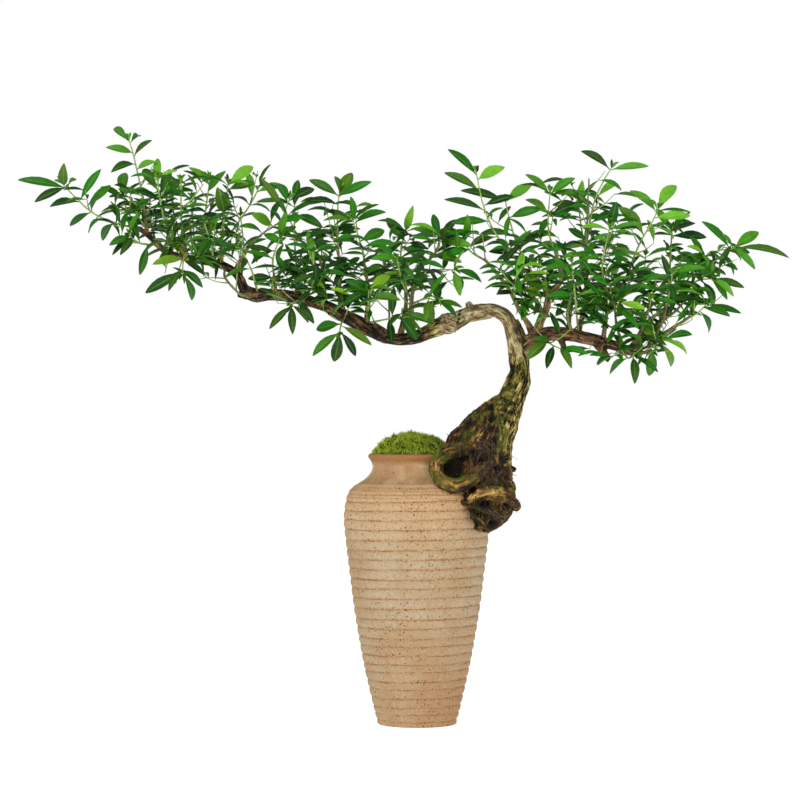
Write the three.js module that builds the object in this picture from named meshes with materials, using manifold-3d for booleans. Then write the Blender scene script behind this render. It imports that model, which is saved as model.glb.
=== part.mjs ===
// A serissa bonsai: a small tree whose root mass sits in the broken shoulder of a ringed stoneware vase.
// One long limb arches out to the left and a short one runs to the right, both under leafy sprays.
// Millimetres, +Z up, +X to the right and +Y away from the front, from the centre of the vase's foot.
import * as THREE from "three";
import { mergeVertices } from "three/addons/utils/BufferGeometryUtils.js";
import Module from "manifold-3d";

// Driving dimensions of the vase.
const VASE_HEIGHT = 150;
const VASE_SIDES = 16;
const FLOOR = 6;
const RING_COUNT = 24;
const RING_DEPTH = 0.7;
const FIRST_RING = 3;
const LAST_RING = 126;
// Outer radius at each height of the body, then of the shoulder, neck and lip.
const BODY = [
  [0, 21.4], [12, 24.4], [34, 29.4], [62, 34.3], [84, 37.1], [103, 39.4], [115, 40.3], [126, 38.7],
];
const NECK = [[131, 36], [135.5, 29.6], [139, 26.2], [142.5, 24.8], [146, 25.8], [148, 27.2], [149.4, 27]];
// Inner radius at each height, from the lip down to the floor.
const INSIDE = [
  [VASE_HEIGHT, 25.6], [147.5, 23], [142, 20.6], [134, 26], [126, 34.4], [84, 33], [FLOOR, 18.6],
];
// The broken gap in the shoulder, beside the root mass.
const GAP_CENTRE = [24, -27, 141];
const GAP_HALF_SIZE = [9, 12, 8];
const GAP_TURN = 0.7;

// Driving dimensions of what fills the vase, and the clearance that touching pieces keep.
const CLEARANCE = 0.35;
// Corners closer than this are one corner, and solids that share less than this volume are clear.
const MERGE_REACH = 1e-4;
const CLEAR_VOLUME = 0.001;
const SOIL_TOP = 143;
// The soil stands this much inside the wall, which leaves the clearance on the steep shoulder too.
const SOIL_SHRINK = 0.65;
const MOSS_SIDES = 16;
// The lumps of the moss swell it by this share and lift it by this much. They start at the lip, and are whole
// by this much above it.
const MOSS_LUMP = 0.07;
const MOSS_RISE = 0.8;
const MOSS_EASE = 4;
const MOSS_LEAN = -2;
// Radians for each millimetre of the waves that make the lumps: along x and z, then along y and z.
const MOSS_WAVES = [[0.55, 0.4], [0.6, 0.5]];
// Radius at each height of the moss, from its bed in the mouth to its crown.
const MOSS = [
  [143.6, 19.9], [146.5, 21.7], [149.6, 24], [151.6, 23.6], [154.6, 21.2], [157.6, 17.2], [160, 12],
  [161.5, 6], [162.2, 1.5],
];
const MOSS_LIP = MOSS[2][0];

// Driving dimensions of the foliage.
const LEAF_LENGTH = 18.5;
const LEAF_WIDTH = 5.4;
const LEAF_THICKNESS = 1.2;
const LEAF_FOLD = 0.5;
const LEAF_ARCH = 0.1;
// The way a paired leaf's upper side turns, and a traced one's, which shows its full width in the front view.
const LEAF_FACING = new THREE.Vector3(0.1, -0.65, 0.9);
const TRACED_FACING = new THREE.Vector3(0.1, -1, 0.5);
// How far along a blade its two rows of corners lie, and the second row's share of the width.
const LEAF_STATIONS = [0.3, 0.66];
const LEAF_TAPER = 0.9;
// A traced leaf's length as a share of the usual one, its least depth, and its roll in radians.
const TRACED_LENGTH = [0.9, 1.15];
const TRACED_DEPTH = 3;
const TRACED_ROLL = [-0.25, 0.25];
// A traced leaf with no base in the front view starts where this share of the usual length reaches its tip.
const TRACED_REACH = 0.85;
// A paired leaf's length and width as shares of the usual ones, its spread from the stem, there also for the
// topmost pair, its twist about the stem, the share of its rise that is left once it has turned level, its
// droop and its roll.
const PAIR_LENGTH = [0.8, 1.1];
const PAIR_WIDTH = [0.9, 1.2];
const PAIR_SPREAD = [1.05, 1.35];
const TOP_SPREAD = [0.85, 1.2];
const PAIR_TWIST = [-0.4, 0.4];
const PAIR_LEVEL = 0.6;
const PAIR_DROOP = [0, 0.25];
const PAIR_ROLL = [-0.45, 0.45];
// The size of each pad's paired leaves.
const PAD_SIZES = { left: 0.84, middle: 1, right: 1 };
// The share of a stem where its lowest pair may stand, and where its topmost one does.
const FIRST_NODE = 0.3;
const LAST_NODE = 0.97;
// The turns that a leaf tries until it is clear of the wood and of every other leaf and stem.
const TURNS = [0, 0.45, -0.45, 0.9, 2.4, 3.14, 1.57];
// Blades of one spray may cross by this volume, in cubic millimetres, near the stem that they share.
const SHARED_VOLUME = 2.5;
const STEM_RADIUS = 0.85;
const STEM_TAPER = 0.3;
const STEM_SIDES = 3;
// A stem starts in the wood, and its own first point counts only if it is at least this far out.
const STEM_START = 3;
// How finely a stem is searched for a leaf's base, and the first step where an untraced base may be.
const STEM_STEPS = 60;
const FIRST_STEP = 12;
// Each spray's leaves draw their chances from keys of their own, and its paired leaves from this one on.
const KEYS = 100;
const PAIR_KEYS = 50;

// Where the eye stands in the front view that gives the places of limbs and leaves.
const EYE_DISTANCE = 1500;
const EYE_X = -9.4;
const EYE_Z = 179.7;

// Colour and roughness of each material.
const STONEWARE = [0xcda77b, 0.85];
const SOIL = [0x33251b, 1];
const MOSS_GREEN = [0x7c9a22, 0.95];
const BARK = [0x7a654a, 0.9];
const LEAF_GREEN = [0x35702a, 0.45];

// How many sides each kind of limb has, and the share by which its surface swells and pinches.
const MASS_FORM = [10, 0.07];
const TRUNK_FORM = [7, 0.07];
const LIMB_FORM = [6, 0.06];
const ROOT_FORM = [6, 0.05];
const STUB_FORM = [4, 0];
const TWIG_FORM = [3, 0];
// A direction that no limb or stem starts along, and how the swelling of a tube turns from ring to ring.
const FIRST_NORMAL = [0.31, 1, 0.17];
const GNARL_TURNS = [1.9, -2.6];

// The stout wood: each limb is a list of x, y, z and radius.
const ROOT_MASS = [
  [50.5, -7, 178, 7.9], [43.5, -11, 167, 13.2], [36.8, -15, 157, 16.4], [37, -17, 147, 15.2],
  [38, -19, 136, 14.2], [39.3, -21, 125, 14.2], [36.5, -22, 115, 10.8], [34.5, -22, 108.6, 5],
];
const TRUNK = [
  [44, -10, 160, 9], [48.6, -7, 172, 9], [52.6, -5, 181, 7.6], [56.2, -3, 190, 6.7], [57.2, -1, 196, 6.1],
  [56.6, 0, 202, 5.9], [55.5, 0, 208, 5.2], [53.2, -1, 215, 4.1], [52, -2, 221, 3.9],
  [49.5, -3, 225.7, 4], [45, -4, 228.7, 3.9], [40, -4, 229.8, 3.7], [33, -4, 229, 3.8],
  [27, -4, 226.4, 4.3], [22, -3, 223.8, 5.2], [17.5, -2, 222.3, 6.1], [12, -2, 220.2, 5], [0, -1, 215, 4],
  [-10, 0, 213.3, 3.4], [-20, 2, 215.8, 3.8], [-30, 4, 221, 4.3], [-40, 5, 226.3, 3.8],
  [-50, 5, 231.7, 3.3], [-60, 4, 234.8, 3.3], [-70, 3, 237.2, 3.6], [-80, 2, 238.3, 3.4],
  [-90, 0, 238, 4], [-96, -1, 241.5, 3.1], [-98, -1, 246.5, 2.6], [-102, 0, 251.3, 2.4],
  [-110, 2, 255.2, 2.3], [-121, 3, 257.5, 2.2], [-130, 3, 259.2, 2.1], [-138, 2, 261.4, 1.9],
  [-144, 1, 266, 1.8], [-149, 0, 271, 1.6], [-155, -1, 275.5, 1.3],
];
const RIGHT_LIMB = [
  [54, 0, 204, 4.4], [60, 0, 210.5, 3.9], [64.5, 0, 214, 3.6], [71, 1, 216.4, 3.7], [80, 1, 217, 3],
  [90, 0, 215.5, 2.8], [100, -2, 213, 2.9], [108, -3, 210.4, 2.9], [116, -4, 208, 2.4],
  [121, -4, 210, 1.9], [128, -3, 215.6, 1.6], [135, 0, 223, 1.4], [142, 2, 232, 1.2], [148, 3, 241, 1],
];
const ROOTS = [
  [
    [29, -26, 154, 4.2], [17.5, -29, 151, 3.9], [10.8, -30, 146, 3.7], [10.4, -30, 139.8, 3.7],
    [15, -32, 134.6, 3.7], [21.5, -33, 133, 3.8], [28, -33, 135.6, 3.8], [33.5, -32, 140.4, 3.8],
    [39, -28, 145.5, 4],
  ],
  [
    [28, -27, 122, 2.6], [32, -32, 125.6, 2.5], [39, -34.6, 128, 2.7], [46, -32.5, 127, 2.8],
    [52, -27, 124, 3], [54.6, -20, 121, 2.6],
  ],
  [[45, -24, 146, 4], [47, -29, 138, 3.4], [44, -31, 130, 3]],
  [[46, -16, 143.5, 3], [54.4, -15, 141.3, 1.2]],
  [[30, -12, 164, 5], [21, -16, 158, 4.4], [18, -22, 150, 3.6]],
];
// Short stubs and burrs, then the twigs that carry the sprays.
const STUBS = [
  [[17.5, -3, 222.5, 6.5], [12.4, -4, 224.5, 3.2]],
  [[31, -4, 228, 3], [28, -4, 234, 1.5]],
  [[-90, 0, 238, 3.8], [-99.5, -2, 238, 1.3]],
  [[98, -2, 212.6, 2.3], [106, -5, 200.8, 0.8]],
  [[79, 1, 215.5, 2.2], [83, -2, 206, 1.2]],
  [[65, 0, 215, 2.8], [61, -2, 223.5, 1.5]],
  [[-18, 1, 216, 3.4], [-24, 0, 222.4, 1]],
];
const TWIGS = [
  [
    [65, 0, 214, 3], [69, -2, 224, 2.4], [72, -3, 231, 2.1], [73.5, -3, 238, 1.7], [80, -4, 246, 1.3],
    [77, -5, 261, 1],
  ],
  [[72.5, -3, 236, 1.6], [70, -5, 243, 1.3], [62, -7, 249, 1]],
  [[63, -1, 219, 1.6], [56, -6, 231, 1.2], [52, -8, 239, 1.1], [46, -8, 247, 1], [37, -6, 258, 0.9]],
  [[84, 1, 216, 1.6], [85, 4, 226, 1.2], [87, 8, 236, 0.9]],
  [[89, 0, 215, 1.8], [91.5, 3, 224, 1.5], [94, 6, 233, 1.3], [95, 9, 247, 1.1], [94.5, 8, 262, 0.9]],
  [[94.5, 8, 260, 0.9], [95, 7, 275, 0.7], [96, 6, 303.5, 0.6]],
  [[103, -2, 211.5, 1.6], [105, -6, 230, 1], [104, -10, 244, 0.8]],
  [[104.5, -5, 226, 0.9], [113, -5, 242, 0.8], [118, -5, 252, 0.8]],
  [[141.5, 2, 231, 1], [141, 8, 249, 0.9]],
  [[123, -4, 211.5, 1.5], [127, -7, 222, 1.1], [138, -10, 231, 0.9]],
  [[128, -3, 215.4, 1.4], [134, -5, 216, 1.1], [142, -8, 220, 1], [151, -9, 226, 0.8]],
  [[111, -3, 209, 2], [118, -8, 205.6, 1.4], [128, -11, 206, 1]],
  [[118, -5, 208, 1.4], [123, -13, 217, 1], [126, -15, 226, 0.9], [129, -15, 233, 0.7]],
  [[-150, 0, 271.5, 1.4], [-151, 2, 281, 1]],
  [[-137, 2, 261, 1.5], [-136, 6, 270, 1]],
  [[-128, 3, 259, 1.5], [-130, -6, 270, 1]],
  [[-120, 3, 257, 1.5], [-119, 4, 268, 1]],
  [[-109, 2, 254.6, 1.6], [-108, -4, 267, 1.1]],
  [[-101, 0, 250.6, 1.7], [-94, -3, 264, 1]],
  [[-79, 2, 238, 2], [-79, -6, 248, 1.1]],
  [[-66, 3, 236.2, 2], [-67, 8, 251, 1.1]],
  [[-41, 5, 226.6, 2.2], [-43, 4, 240, 1.4], [-43, 3, 256, 1]],
  [[-28, 3.6, 220, 2], [-27, -2, 238, 1.2], [-29, -7, 254, 0.9]],
  [[-10, 0, 213.3, 2], [-6, 8, 232, 1.2], [-7, 11, 250, 0.9]],
  [[-2, -1, 215.6, 2], [-3, -4, 235, 1.2], [1, -6, 251, 1], [8, -7, 259, 0.8]],
  [[-90, 0, 238, 2.2], [-98, -9, 238.5, 0.8], [-106, -6, 247, 0.7], [-107, 1, 253.6, 0.7]],
];

// The sprays. A stem is a list of x and z in the front view, and depth is y at its root and at its tip.
// A leaf is its tip's x and z, its width, and where the front view shows it, the x and z of its base.
// Pairs is how many opposite pairs the rule of growth adds along the stem.
const LEFT_PAD = [
  {
    stem: [[-155, 275], [-166, 277.5], [-180, 283.5], [-190, 292.5], [-197, 300]], depth: [0, -6], pairs: 0,
    leaves: [
      [-222, 302, 5.5, -194, 297], [-212.5, 289.5, 5.5, -195, 297], [-196, 311.5, 6, -197, 300],
      [-189, 302, 5, -193, 296], [-175.5, 308, 5, -187, 290], [-170, 299, 5, -184, 287],
      [-204, 287, 6, -187, 289], [-193, 276.5, 5, -181, 284], [-182.5, 272.5, 5, -174, 281],
      [-175, 268.5, 6.5, -168, 279], [-176, 294, 5, -181, 284], [-171, 288, 5, -164, 277],
    ],
  },
  {
    stem: [[-147, 266], [-154, 267], [-160, 271]], depth: [-2, -16], pairs: 1,
    leaves: [
      [-165, 260, 5, -158, 270], [-171, 265.5, 5, -160, 271], [-154, 249, 5, -150, 264], [-161, 281, 5],
    ],
  },
  {
    stem: [[-151, 282], [-153, 296], [-155, 305], [-158, 318], [-160, 324]], depth: [3, 8], pairs: 0,
    leaves: [
      [-168, 331, 5, -160, 324], [-154, 326, 4, -160, 322], [-147, 324, 5, -157, 315],
      [-173, 320, 5, -158, 317], [-145, 312, 5, -155, 308], [-170, 306, 6, -157, 310],
      [-141, 303, 5, -154, 300], [-166, 297, 6, -153, 293],
    ],
  },
  {
    stem: [[-138, 268], [-142, 287], [-144.5, 303]], depth: [-4, -12], pairs: 1,
    leaves: [[-144, 314, 5], [-152, 308, 6], [-137, 308, 6], [-131, 301, 5], [-157, 296, 5]],
  },
  {
    stem: [[-156, 277], [-161, 285], [-163, 293]], depth: [2, 15], pairs: 2,
    leaves: [[-162.5, 306, 7, -163, 293], [-176, 298, 5, -163, 291]],
  },
  { stem: [[-136, 270], [-135, 280], [-136, 296]], depth: [8, 26], pairs: 3, leaves: [] },
  { stem: [[-130, 268], [-131, 284], [-131, 301]], depth: [-6, -22], pairs: 3, leaves: [] },
  {
    stem: [[-119, 266], [-117.5, 284], [-115, 302]], depth: [4, 8], pairs: 2,
    leaves: [[-127, 309, 5], [-106, 307, 5]],
  },
  {
    stem: [[-108, 266], [-107, 282], [-105, 300]], depth: [-4, -20], pairs: 1,
    leaves: [[-91, 309.5, 7], [-111, 298, 8], [-90, 300, 6]],
  },
  {
    stem: [[-107, 266], [-94, 286], [-87, 299]], depth: [-2, 22], pairs: 2,
    leaves: [[-74, 299, 6], [-94, 306, 5]],
  },
  {
    stem: [[-94, 264], [-86, 272], [-76, 279], [-71, 291]], depth: [-4, -12], pairs: 0,
    leaves: [
      [-87, 303, 5, -75, 284], [-57, 297, 6, -71, 291], [-77, 300, 6, -72, 289], [-92, 283, 7, -80, 276],
      [-62, 281, 6, -78, 278], [-99, 276, 5, -86, 272], [-89, 256, 5, -91, 267], [-74, 266, 5, -86, 272],
    ],
  },
  {
    stem: [[-128, 258], [-128, 262], [-130, 256], [-130, 249]], depth: [0, -34], pairs: 0,
    leaves: [
      [-147, 255, 6, -130, 258], [-139, 270, 6, -129, 259], [-110, 259, 5, -128, 261],
      [-151, 239, 6.5, -130, 251], [-119, 242, 5, -130, 252], [-125, 235, 5, -130, 250],
      [-138, 240, 5, -130, 251],
    ],
  },
  {
    stem: [[-79, 247], [-80, 258], [-76, 270]], depth: [-6, -20], pairs: 2,
    leaves: [[-96, 262, 4], [-94, 247, 5, -79, 247], [-92, 255, 4], [-72, 284, 5]],
  },
  {
    stem: [[-67, 250], [-68, 270], [-68, 288]], depth: [8, 16], pairs: 3,
    leaves: [[-52, 275, 6, -68, 282], [-66, 302, 5]],
  },
  { stem: [[-145, 267], [-148, 278], [-152, 290]], depth: [2, 40], pairs: 3, leaves: [] },
  { stem: [[-122, 258], [-124, 272], [-125, 292]], depth: [3, 44], pairs: 3, leaves: [] },
  { stem: [[-98, 246], [-96, 262], [-98, 282]], depth: [0, 42], pairs: 3, leaves: [] },
  { stem: [[-113, 256], [-114, 264], [-118, 278]], depth: [2, -42], pairs: 3, leaves: [] },
  { stem: [[-88, 240], [-92, 252], [-98, 264]], depth: [0, -40], pairs: 3, leaves: [] },
];
const MIDDLE_PAD = [
  {
    stem: [[-43, 254], [-44, 270], [-44, 285], [-43, 296]], depth: [3, 6], pairs: 2,
    leaves: [[-60, 302, 6, -44, 293], [-36, 306, 7.5], [-25, 301, 6, -43, 293], [-62, 290, 5]],
  },
  {
    stem: [[-29, 252], [-30, 262], [-33, 272], [-36, 280]], depth: [-7, -16], pairs: 1,
    leaves: [
      [-17, 284, 6, -34, 278], [-37, 293, 5, -36, 280], [-18, 274, 7, -31, 268], [-11, 266, 5, -30, 264],
      [-51, 285, 5, -36, 280],
    ],
  },
  {
    stem: [[-7, 248], [-9, 262], [-6, 274]], depth: [11, 20], pairs: 3,
    leaves: [[-2, 288, 5], [-17, 281, 6.5]],
  },
  {
    stem: [[8, 258], [12, 264], [13, 271]], depth: [-7, -9], pairs: 1,
    leaves: [[-3, 275, 5], [9, 283, 5], [22, 280, 5], [31, 265, 6], [25, 256, 6, 9, 260]],
  },
  {
    stem: [[1, 250], [12, 252], [21, 252]], depth: [-6, -24], pairs: 1,
    leaves: [[36, 245, 6], [23, 238, 7, 19, 252], [12, 235, 6, 9, 252]],
  },
  {
    stem: [[-3, 233], [5, 236], [11, 235]], depth: [-4, -28], pairs: 2,
    leaves: [[22, 226, 5, 11, 235], [7, 221, 5, 9, 235]],
  },
  {
    stem: [[-28, 222], [-15, 225], [-8, 228]], depth: [2, -20], pairs: 2,
    leaves: [[0, 213, 6, -10, 227], [10, 222, 5, -8, 228], [-14, 211, 5, -16, 225]],
  },
  {
    stem: [[-40, 226], [-42, 222], [-43, 217]], depth: [4, -18], pairs: 0,
    leaves: [
      [-58, 204, 6, -43, 217], [-46, 201, 7, -43, 218], [-34, 204, 5, -43, 218], [-25, 210, 5, -42, 221],
      [-56, 219, 7, -42, 222],
    ],
  },
  {
    stem: [[-61, 235], [-66, 235], [-70, 232]], depth: [4, -18], pairs: 1,
    leaves: [[-82, 219, 5], [-69, 216, 5], [-57, 222, 5]],
  },
  {
    stem: [[-28, 222], [-27, 232], [-27, 241]], depth: [2, -34], pairs: 1,
    leaves: [[-9, 235, 6.5], [-15, 249, 6.5], [-40, 246, 7], [-41, 232, 6]],
  },
  { stem: [[-50, 232], [-52, 252], [-54, 272]], depth: [5, 42], pairs: 3, leaves: [] },
  { stem: [[-15, 215], [-16, 240], [-20, 262]], depth: [1, 44], pairs: 3, leaves: [] },
  { stem: [[-52, 232], [-56, 248], [-58, 262]], depth: [5, -38], pairs: 3, leaves: [] },
  { stem: [[-4, 237], [-8, 245], [-11, 258]], depth: [0, -35], pairs: 3, leaves: [] },
];
const RIGHT_CROWN = [
  {
    stem: [[60, 250], [45, 270], [39, 282], [36, 291], [33, 306]], depth: [-7, -16], pairs: 0,
    leaves: [
      [17, 319, 6.5, 33, 305], [49, 309, 7, 34, 302], [15, 306, 6, 35, 296],
      [15, 291, 6, 38, 285], [54, 293, 5, 37, 288], [19, 278, 6, 40, 279], [30, 266, 5, 45, 270],
    ],
  },
  {
    stem: [[66, 246], [58, 261], [54, 271], [51, 282], [49, 291]], depth: [-5, 10], pairs: 0,
    leaves: [
      [24, 296, 6, 49, 291], [64, 300, 7.5, 49, 290], [70, 286, 6, 51, 281],
      [35, 272, 5, 54, 271], [72, 271, 5, 56, 266], [40, 262, 5, 58, 261],
    ],
  },
  {
    stem: [[77, 258], [73, 275], [74, 295]], depth: [-5, -6], pairs: 1,
    leaves: [[60, 305, 6], [60, 291, 6], [88, 303, 6], [90, 289, 6, 73, 281]],
  },
  {
    stem: [[94.5, 260], [91, 278], [90, 288]], depth: [8, 25], pairs: 2,
    leaves: [[92, 302, 5], [75, 288, 6, 90, 286]],
  },
  {
    stem: [[95, 266], [98, 288], [103, 300], [108, 308.5]], depth: [7, 10], pairs: 0,
    leaves: [
      [91, 318, 5.5, 108, 308], [129, 309.5, 5.5, 108, 308], [111, 300, 5, 99, 292],
      [82, 296, 5, 97, 286], [112, 283, 6, 96, 278], [84, 275, 5, 95, 268],
    ],
  },
  { stem: [[104, 242], [103, 255], [107, 275]], depth: [-10, -30], pairs: 3, leaves: [[111, 290, 6]] },
  {
    stem: [[118, 250], [121, 260], [125, 269], [131, 279], [134, 286]], depth: [-5, -7], pairs: 1,
    leaves: [
      [144, 299, 8], [118, 296, 6, 133, 284], [112, 287, 8, 126, 271], [152, 282, 6, 132, 281],
    ],
  },
  {
    stem: [[141, 247], [141, 260], [141.5, 274]], depth: [8, 20], pairs: 1,
    leaves: [[133, 286, 5], [152, 284, 5], [161, 270, 6], [159, 257, 7]],
  },
  {
    stem: [[148, 241], [156, 256], [165, 262], [177, 264]], depth: [3, 4], pairs: 0,
    leaves: [
      [207, 258.5, 6, 177, 264], [188, 252, 5, 176, 264], [176, 249, 5, 166, 262],
      [165, 247, 7, 158, 258], [158, 279, 6, 174, 264], [190, 273, 7, 177, 264], [169, 272, 4, 176, 264],
      [150, 265, 5, 160, 259], [185, 261.5, 5, 170, 263],
    ],
  },
  {
    stem: [[147, 239], [156, 246], [164, 247]], depth: [3, -18], pairs: 1,
    leaves: [[176, 237, 5], [182, 242, 5], [165, 232, 6.5], [153, 229, 5]],
  },
  {
    stem: [[148, 224], [156, 228], [161, 233]], depth: [-9, -16], pairs: 1,
    leaves: [[174, 226, 6], [162, 217, 6, 157, 229], [147, 237, 5]],
  },
  {
    stem: [[126, 206], [132, 210], [137, 213]], depth: [-10, -20], pairs: 0,
    leaves: [
      [150, 205, 5, 137, 213], [141, 198, 5, 135, 212], [129, 193, 7, 130, 209], [153, 216, 5, 137, 213],
      [124, 222, 5, 134, 211],
    ],
  },
  {
    stem: [[113, 207], [117, 203], [121, 204]], depth: [-6, -20], pairs: 0,
    leaves: [[121, 188.5, 5.5, 120, 204], [107, 194, 7, 117, 203], [134, 195, 5, 121, 204]],
  },
  {
    stem: [[71, 215], [74, 211], [80, 208]], depth: [0, -20], pairs: 0,
    leaves: [
      [61, 202, 7, 73, 212], [72, 197, 5, 76, 210], [86, 197, 5, 79, 208], [95, 205, 5, 80, 208],
      [64, 213, 5, 74, 211],
    ],
  },
  {
    stem: [[105, 228], [109, 230], [113, 234]], depth: [-6, -30], pairs: 2,
    leaves: [[127, 230, 5, 113, 234], [101, 236, 5]],
  },
  {
    stem: [[38, 257], [30, 262], [26, 268]], depth: [-6, -10], pairs: 2,
    leaves: [[12, 273, 5.5], [28, 283, 5], [14, 259, 5]],
  },
  { stem: [[86, 230], [84, 246], [82, 264]], depth: [5, 44], pairs: 3, leaves: [] },
  { stem: [[126, 214], [126, 238], [127, 260]], depth: [-3, 44], pairs: 3, leaves: [] },
  { stem: [[90, 216], [88, 236], [86, 256]], depth: [0, -42], pairs: 3, leaves: [] },
  { stem: [[136, 224], [140, 238], [142, 250]], depth: [0, -38], pairs: 3, leaves: [] },
  { stem: [[56, 232], [54, 240], [56, 252]], depth: [-6, -38], pairs: 3, leaves: [] },
  { stem: [[104, 226], [110, 244], [112, 262]], depth: [-5, 24], pairs: 3, leaves: [] },
];

const wasm = await Module();
wasm.setup();

// A number from 0 to 1 that is always the same for the same two whole numbers: what is left after the point
// of a large sine of both.
function draw(first, second) {
  const wave = Math.sin(first * 12.9898 + second * 78.233) * 43758.5453;
  return wave - Math.floor(wave);
}

// A number between two others, drawn the same way.
function pick([least, most], first, second) {
  return THREE.MathUtils.lerp(least, most, draw(first, second));
}

// A place read in the front view, moved along the line of sight to depth y.
function seen(x, z, y) {
  const reach = 1 + y / EYE_DISTANCE;
  return new THREE.Vector3(EYE_X + (x - EYE_X) * reach, y, EYE_Z + (z - EYE_Z) * reach);
}

// A closed geometry from its corners and the triangles between them.
function closed(corners, triangles) {
  const geometry = new THREE.BufferGeometry().setFromPoints(corners);
  geometry.setIndex(triangles);
  return geometry;
}

// A closed geometry as a solid that can be joined and cut.
function solid(geometry) {
  geometry.deleteAttribute("normal");
  geometry.deleteAttribute("uv");
  const merged = mergeVertices(geometry, MERGE_REACH);
  const vertProperties = new Float32Array(merged.attributes.position.array);
  const triVerts = new Uint32Array(merged.index.array);
  return new wasm.Manifold(new wasm.Mesh({ numProp: 3, vertProperties, triVerts }));
}

// The largest body of a solid: a cut can leave loose scrap, which is dropped.
function largestBody(whole) {
  const bodies = whole.decompose();
  return bodies.reduce((best, body) => (body.volume() > best.volume() ? body : best));
}

// A solid as a named mesh with its material.
function mesh(name, body, [color, roughness]) {
  const { vertProperties, triVerts } = body.getMesh();
  const geometry = new THREE.BufferGeometry();
  geometry.setAttribute("position", new THREE.BufferAttribute(vertProperties, 3));
  geometry.setIndex(new THREE.BufferAttribute(triVerts, 1));
  geometry.computeVertexNormals();
  const made = new THREE.Mesh(geometry, new THREE.MeshStandardMaterial({ color, roughness, metalness: 0 }));
  made.name = name;
  return made;
}

// A tube with rounded bends and closed ends through stations of place and radius.
// Gnarl swells and pinches each ring, and extra makes the whole tube that much stouter.
function tube(stations, sides, gnarl = 0, extra = 0) {
  const last = stations.length - 1;
  const corners = [];
  const triangles = [];
  const normal = new THREE.Vector3(...FIRST_NORMAL);
  stations.forEach(({ place, radius }, ring) => {
    const before = stations[Math.max(ring - 1, 0)].place;
    const after = stations[Math.min(ring + 1, last)].place;
    const along = after.clone().sub(before).normalize();
    normal.addScaledVector(along, -normal.dot(along)).normalize();
    const across = along.clone().cross(normal);
    const end = ring === 0 ? -extra : ring === last ? extra : 0;
    for (let side = 0; side < sides; side += 1) {
      const angle = (2 * Math.PI * side) / sides;
      const [twofold, threefold] = GNARL_TURNS.map((turn) => turn * ring);
      const swell = Math.sin(2 * angle + twofold) + Math.cos(3 * angle + threefold);
      const reach = radius * (1 + gnarl * swell) + extra;
      const corner = place.clone().addScaledVector(along, end);
      corner.addScaledVector(normal, reach * Math.cos(angle));
      corner.addScaledVector(across, reach * Math.sin(angle));
      corners.push(corner);
    }
  });
  for (let ring = 0; ring < last; ring += 1) {
    for (let side = 0; side < sides; side += 1) {
      const a = ring * sides + side;
      const b = ring * sides + ((side + 1) % sides);
      triangles.push(a, b, b + sides, a, b + sides, a + sides);
    }
  }
  for (let side = 1; side < sides - 1; side += 1) {
    triangles.push(0, side + 1, side);
    triangles.push(last * sides, last * sides + side, last * sides + side + 1);
  }
  return solid(closed(corners, triangles));
}

// A limb's list as stations.
function stationsOf(limb) {
  return limb.map(([x, y, z, radius]) => ({ place: new THREE.Vector3(x, y, z), radius }));
}

// The tree's wood in one body, with every surface moved out by extra.
function wood(extra = 0) {
  const grow = (limb, form) => tube(stationsOf(limb), ...form, extra);
  const parts = [
    grow(ROOT_MASS, MASS_FORM),
    grow(TRUNK, TRUNK_FORM),
    grow(RIGHT_LIMB, LIMB_FORM),
    ...ROOTS.map((root) => grow(root, ROOT_FORM)),
    ...STUBS.map((stub) => grow(stub, STUB_FORM)),
    ...TWIGS.map((twig) => grow(twig, TWIG_FORM)),
  ];
  return wasm.Manifold.union(parts);
}

// A solid of revolution from [height, radius] points, closed on the axis.
function turned(profile, sides) {
  const points = profile.map(([height, radius]) => new THREE.Vector2(radius, height));
  const bottom = new THREE.Vector2(0, profile[0][0]);
  const top = new THREE.Vector2(0, profile[profile.length - 1][0]);
  const geometry = new THREE.LatheGeometry([bottom, ...points, top], sides);
  geometry.rotateX(Math.PI / 2);
  return geometry;
}

// The radius that a rising list of [height, radius] points gives at one height.
function radiusAt(profile, height) {
  const upper = Math.max(1, profile.findIndex(([z]) => z >= height));
  const [z0, r0] = profile[upper - 1];
  const [z1, r1] = profile[upper];
  return THREE.MathUtils.lerp(r0, r1, (height - z0) / (z1 - z0));
}

// The vase: a groove at each throwing ring and a swelling between two, then shoulder, neck and lip.
function vase(cut) {
  const pitch = (LAST_RING - FIRST_RING) / RING_COUNT;
  const rings = [[0, BODY[0][1] - RING_DEPTH]];
  for (let ring = 0; ring < RING_COUNT; ring += 1) {
    const groove = FIRST_RING + ring * pitch;
    const middle = groove + pitch / 2;
    rings.push([groove, radiusAt(BODY, groove) - RING_DEPTH / 2]);
    rings.push([middle, radiusAt(BODY, middle) + RING_DEPTH / 2]);
  }
  const shoulder = [[LAST_RING, radiusAt(BODY, LAST_RING)], ...NECK];
  const points = [...rings, ...shoulder, ...INSIDE].map(([z, radius]) => new THREE.Vector2(radius, z));
  const outline = [new THREE.Vector2(0, 0), ...points, new THREE.Vector2(0, FLOOR)];
  const body = solid(new THREE.LatheGeometry(outline, VASE_SIDES).rotateX(Math.PI / 2));
  const gap = new THREE.IcosahedronGeometry(1, 1).scale(...GAP_HALF_SIZE);
  gap.rotateZ(GAP_TURN).translate(...GAP_CENTRE);
  return largestBody(body.subtract(solid(gap)).subtract(cut));
}

// The soil fills the vase up to the neck, clear of its wall and of the roots.
function soil(cut) {
  const wall = [...INSIDE].reverse();
  const bottom = FLOOR + CLEARANCE;
  const middle = wall.filter(([z]) => z > bottom && z < SOIL_TOP);
  const bed = [[bottom, radiusAt(wall, bottom)], ...middle, [SOIL_TOP, radiusAt(wall, SOIL_TOP)]];
  const profile = bed.map(([z, radius]) => [z, radius - SOIL_SHRINK]);
  return largestBody(solid(turned(profile, VASE_SIDES)).subtract(cut));
}

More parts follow.
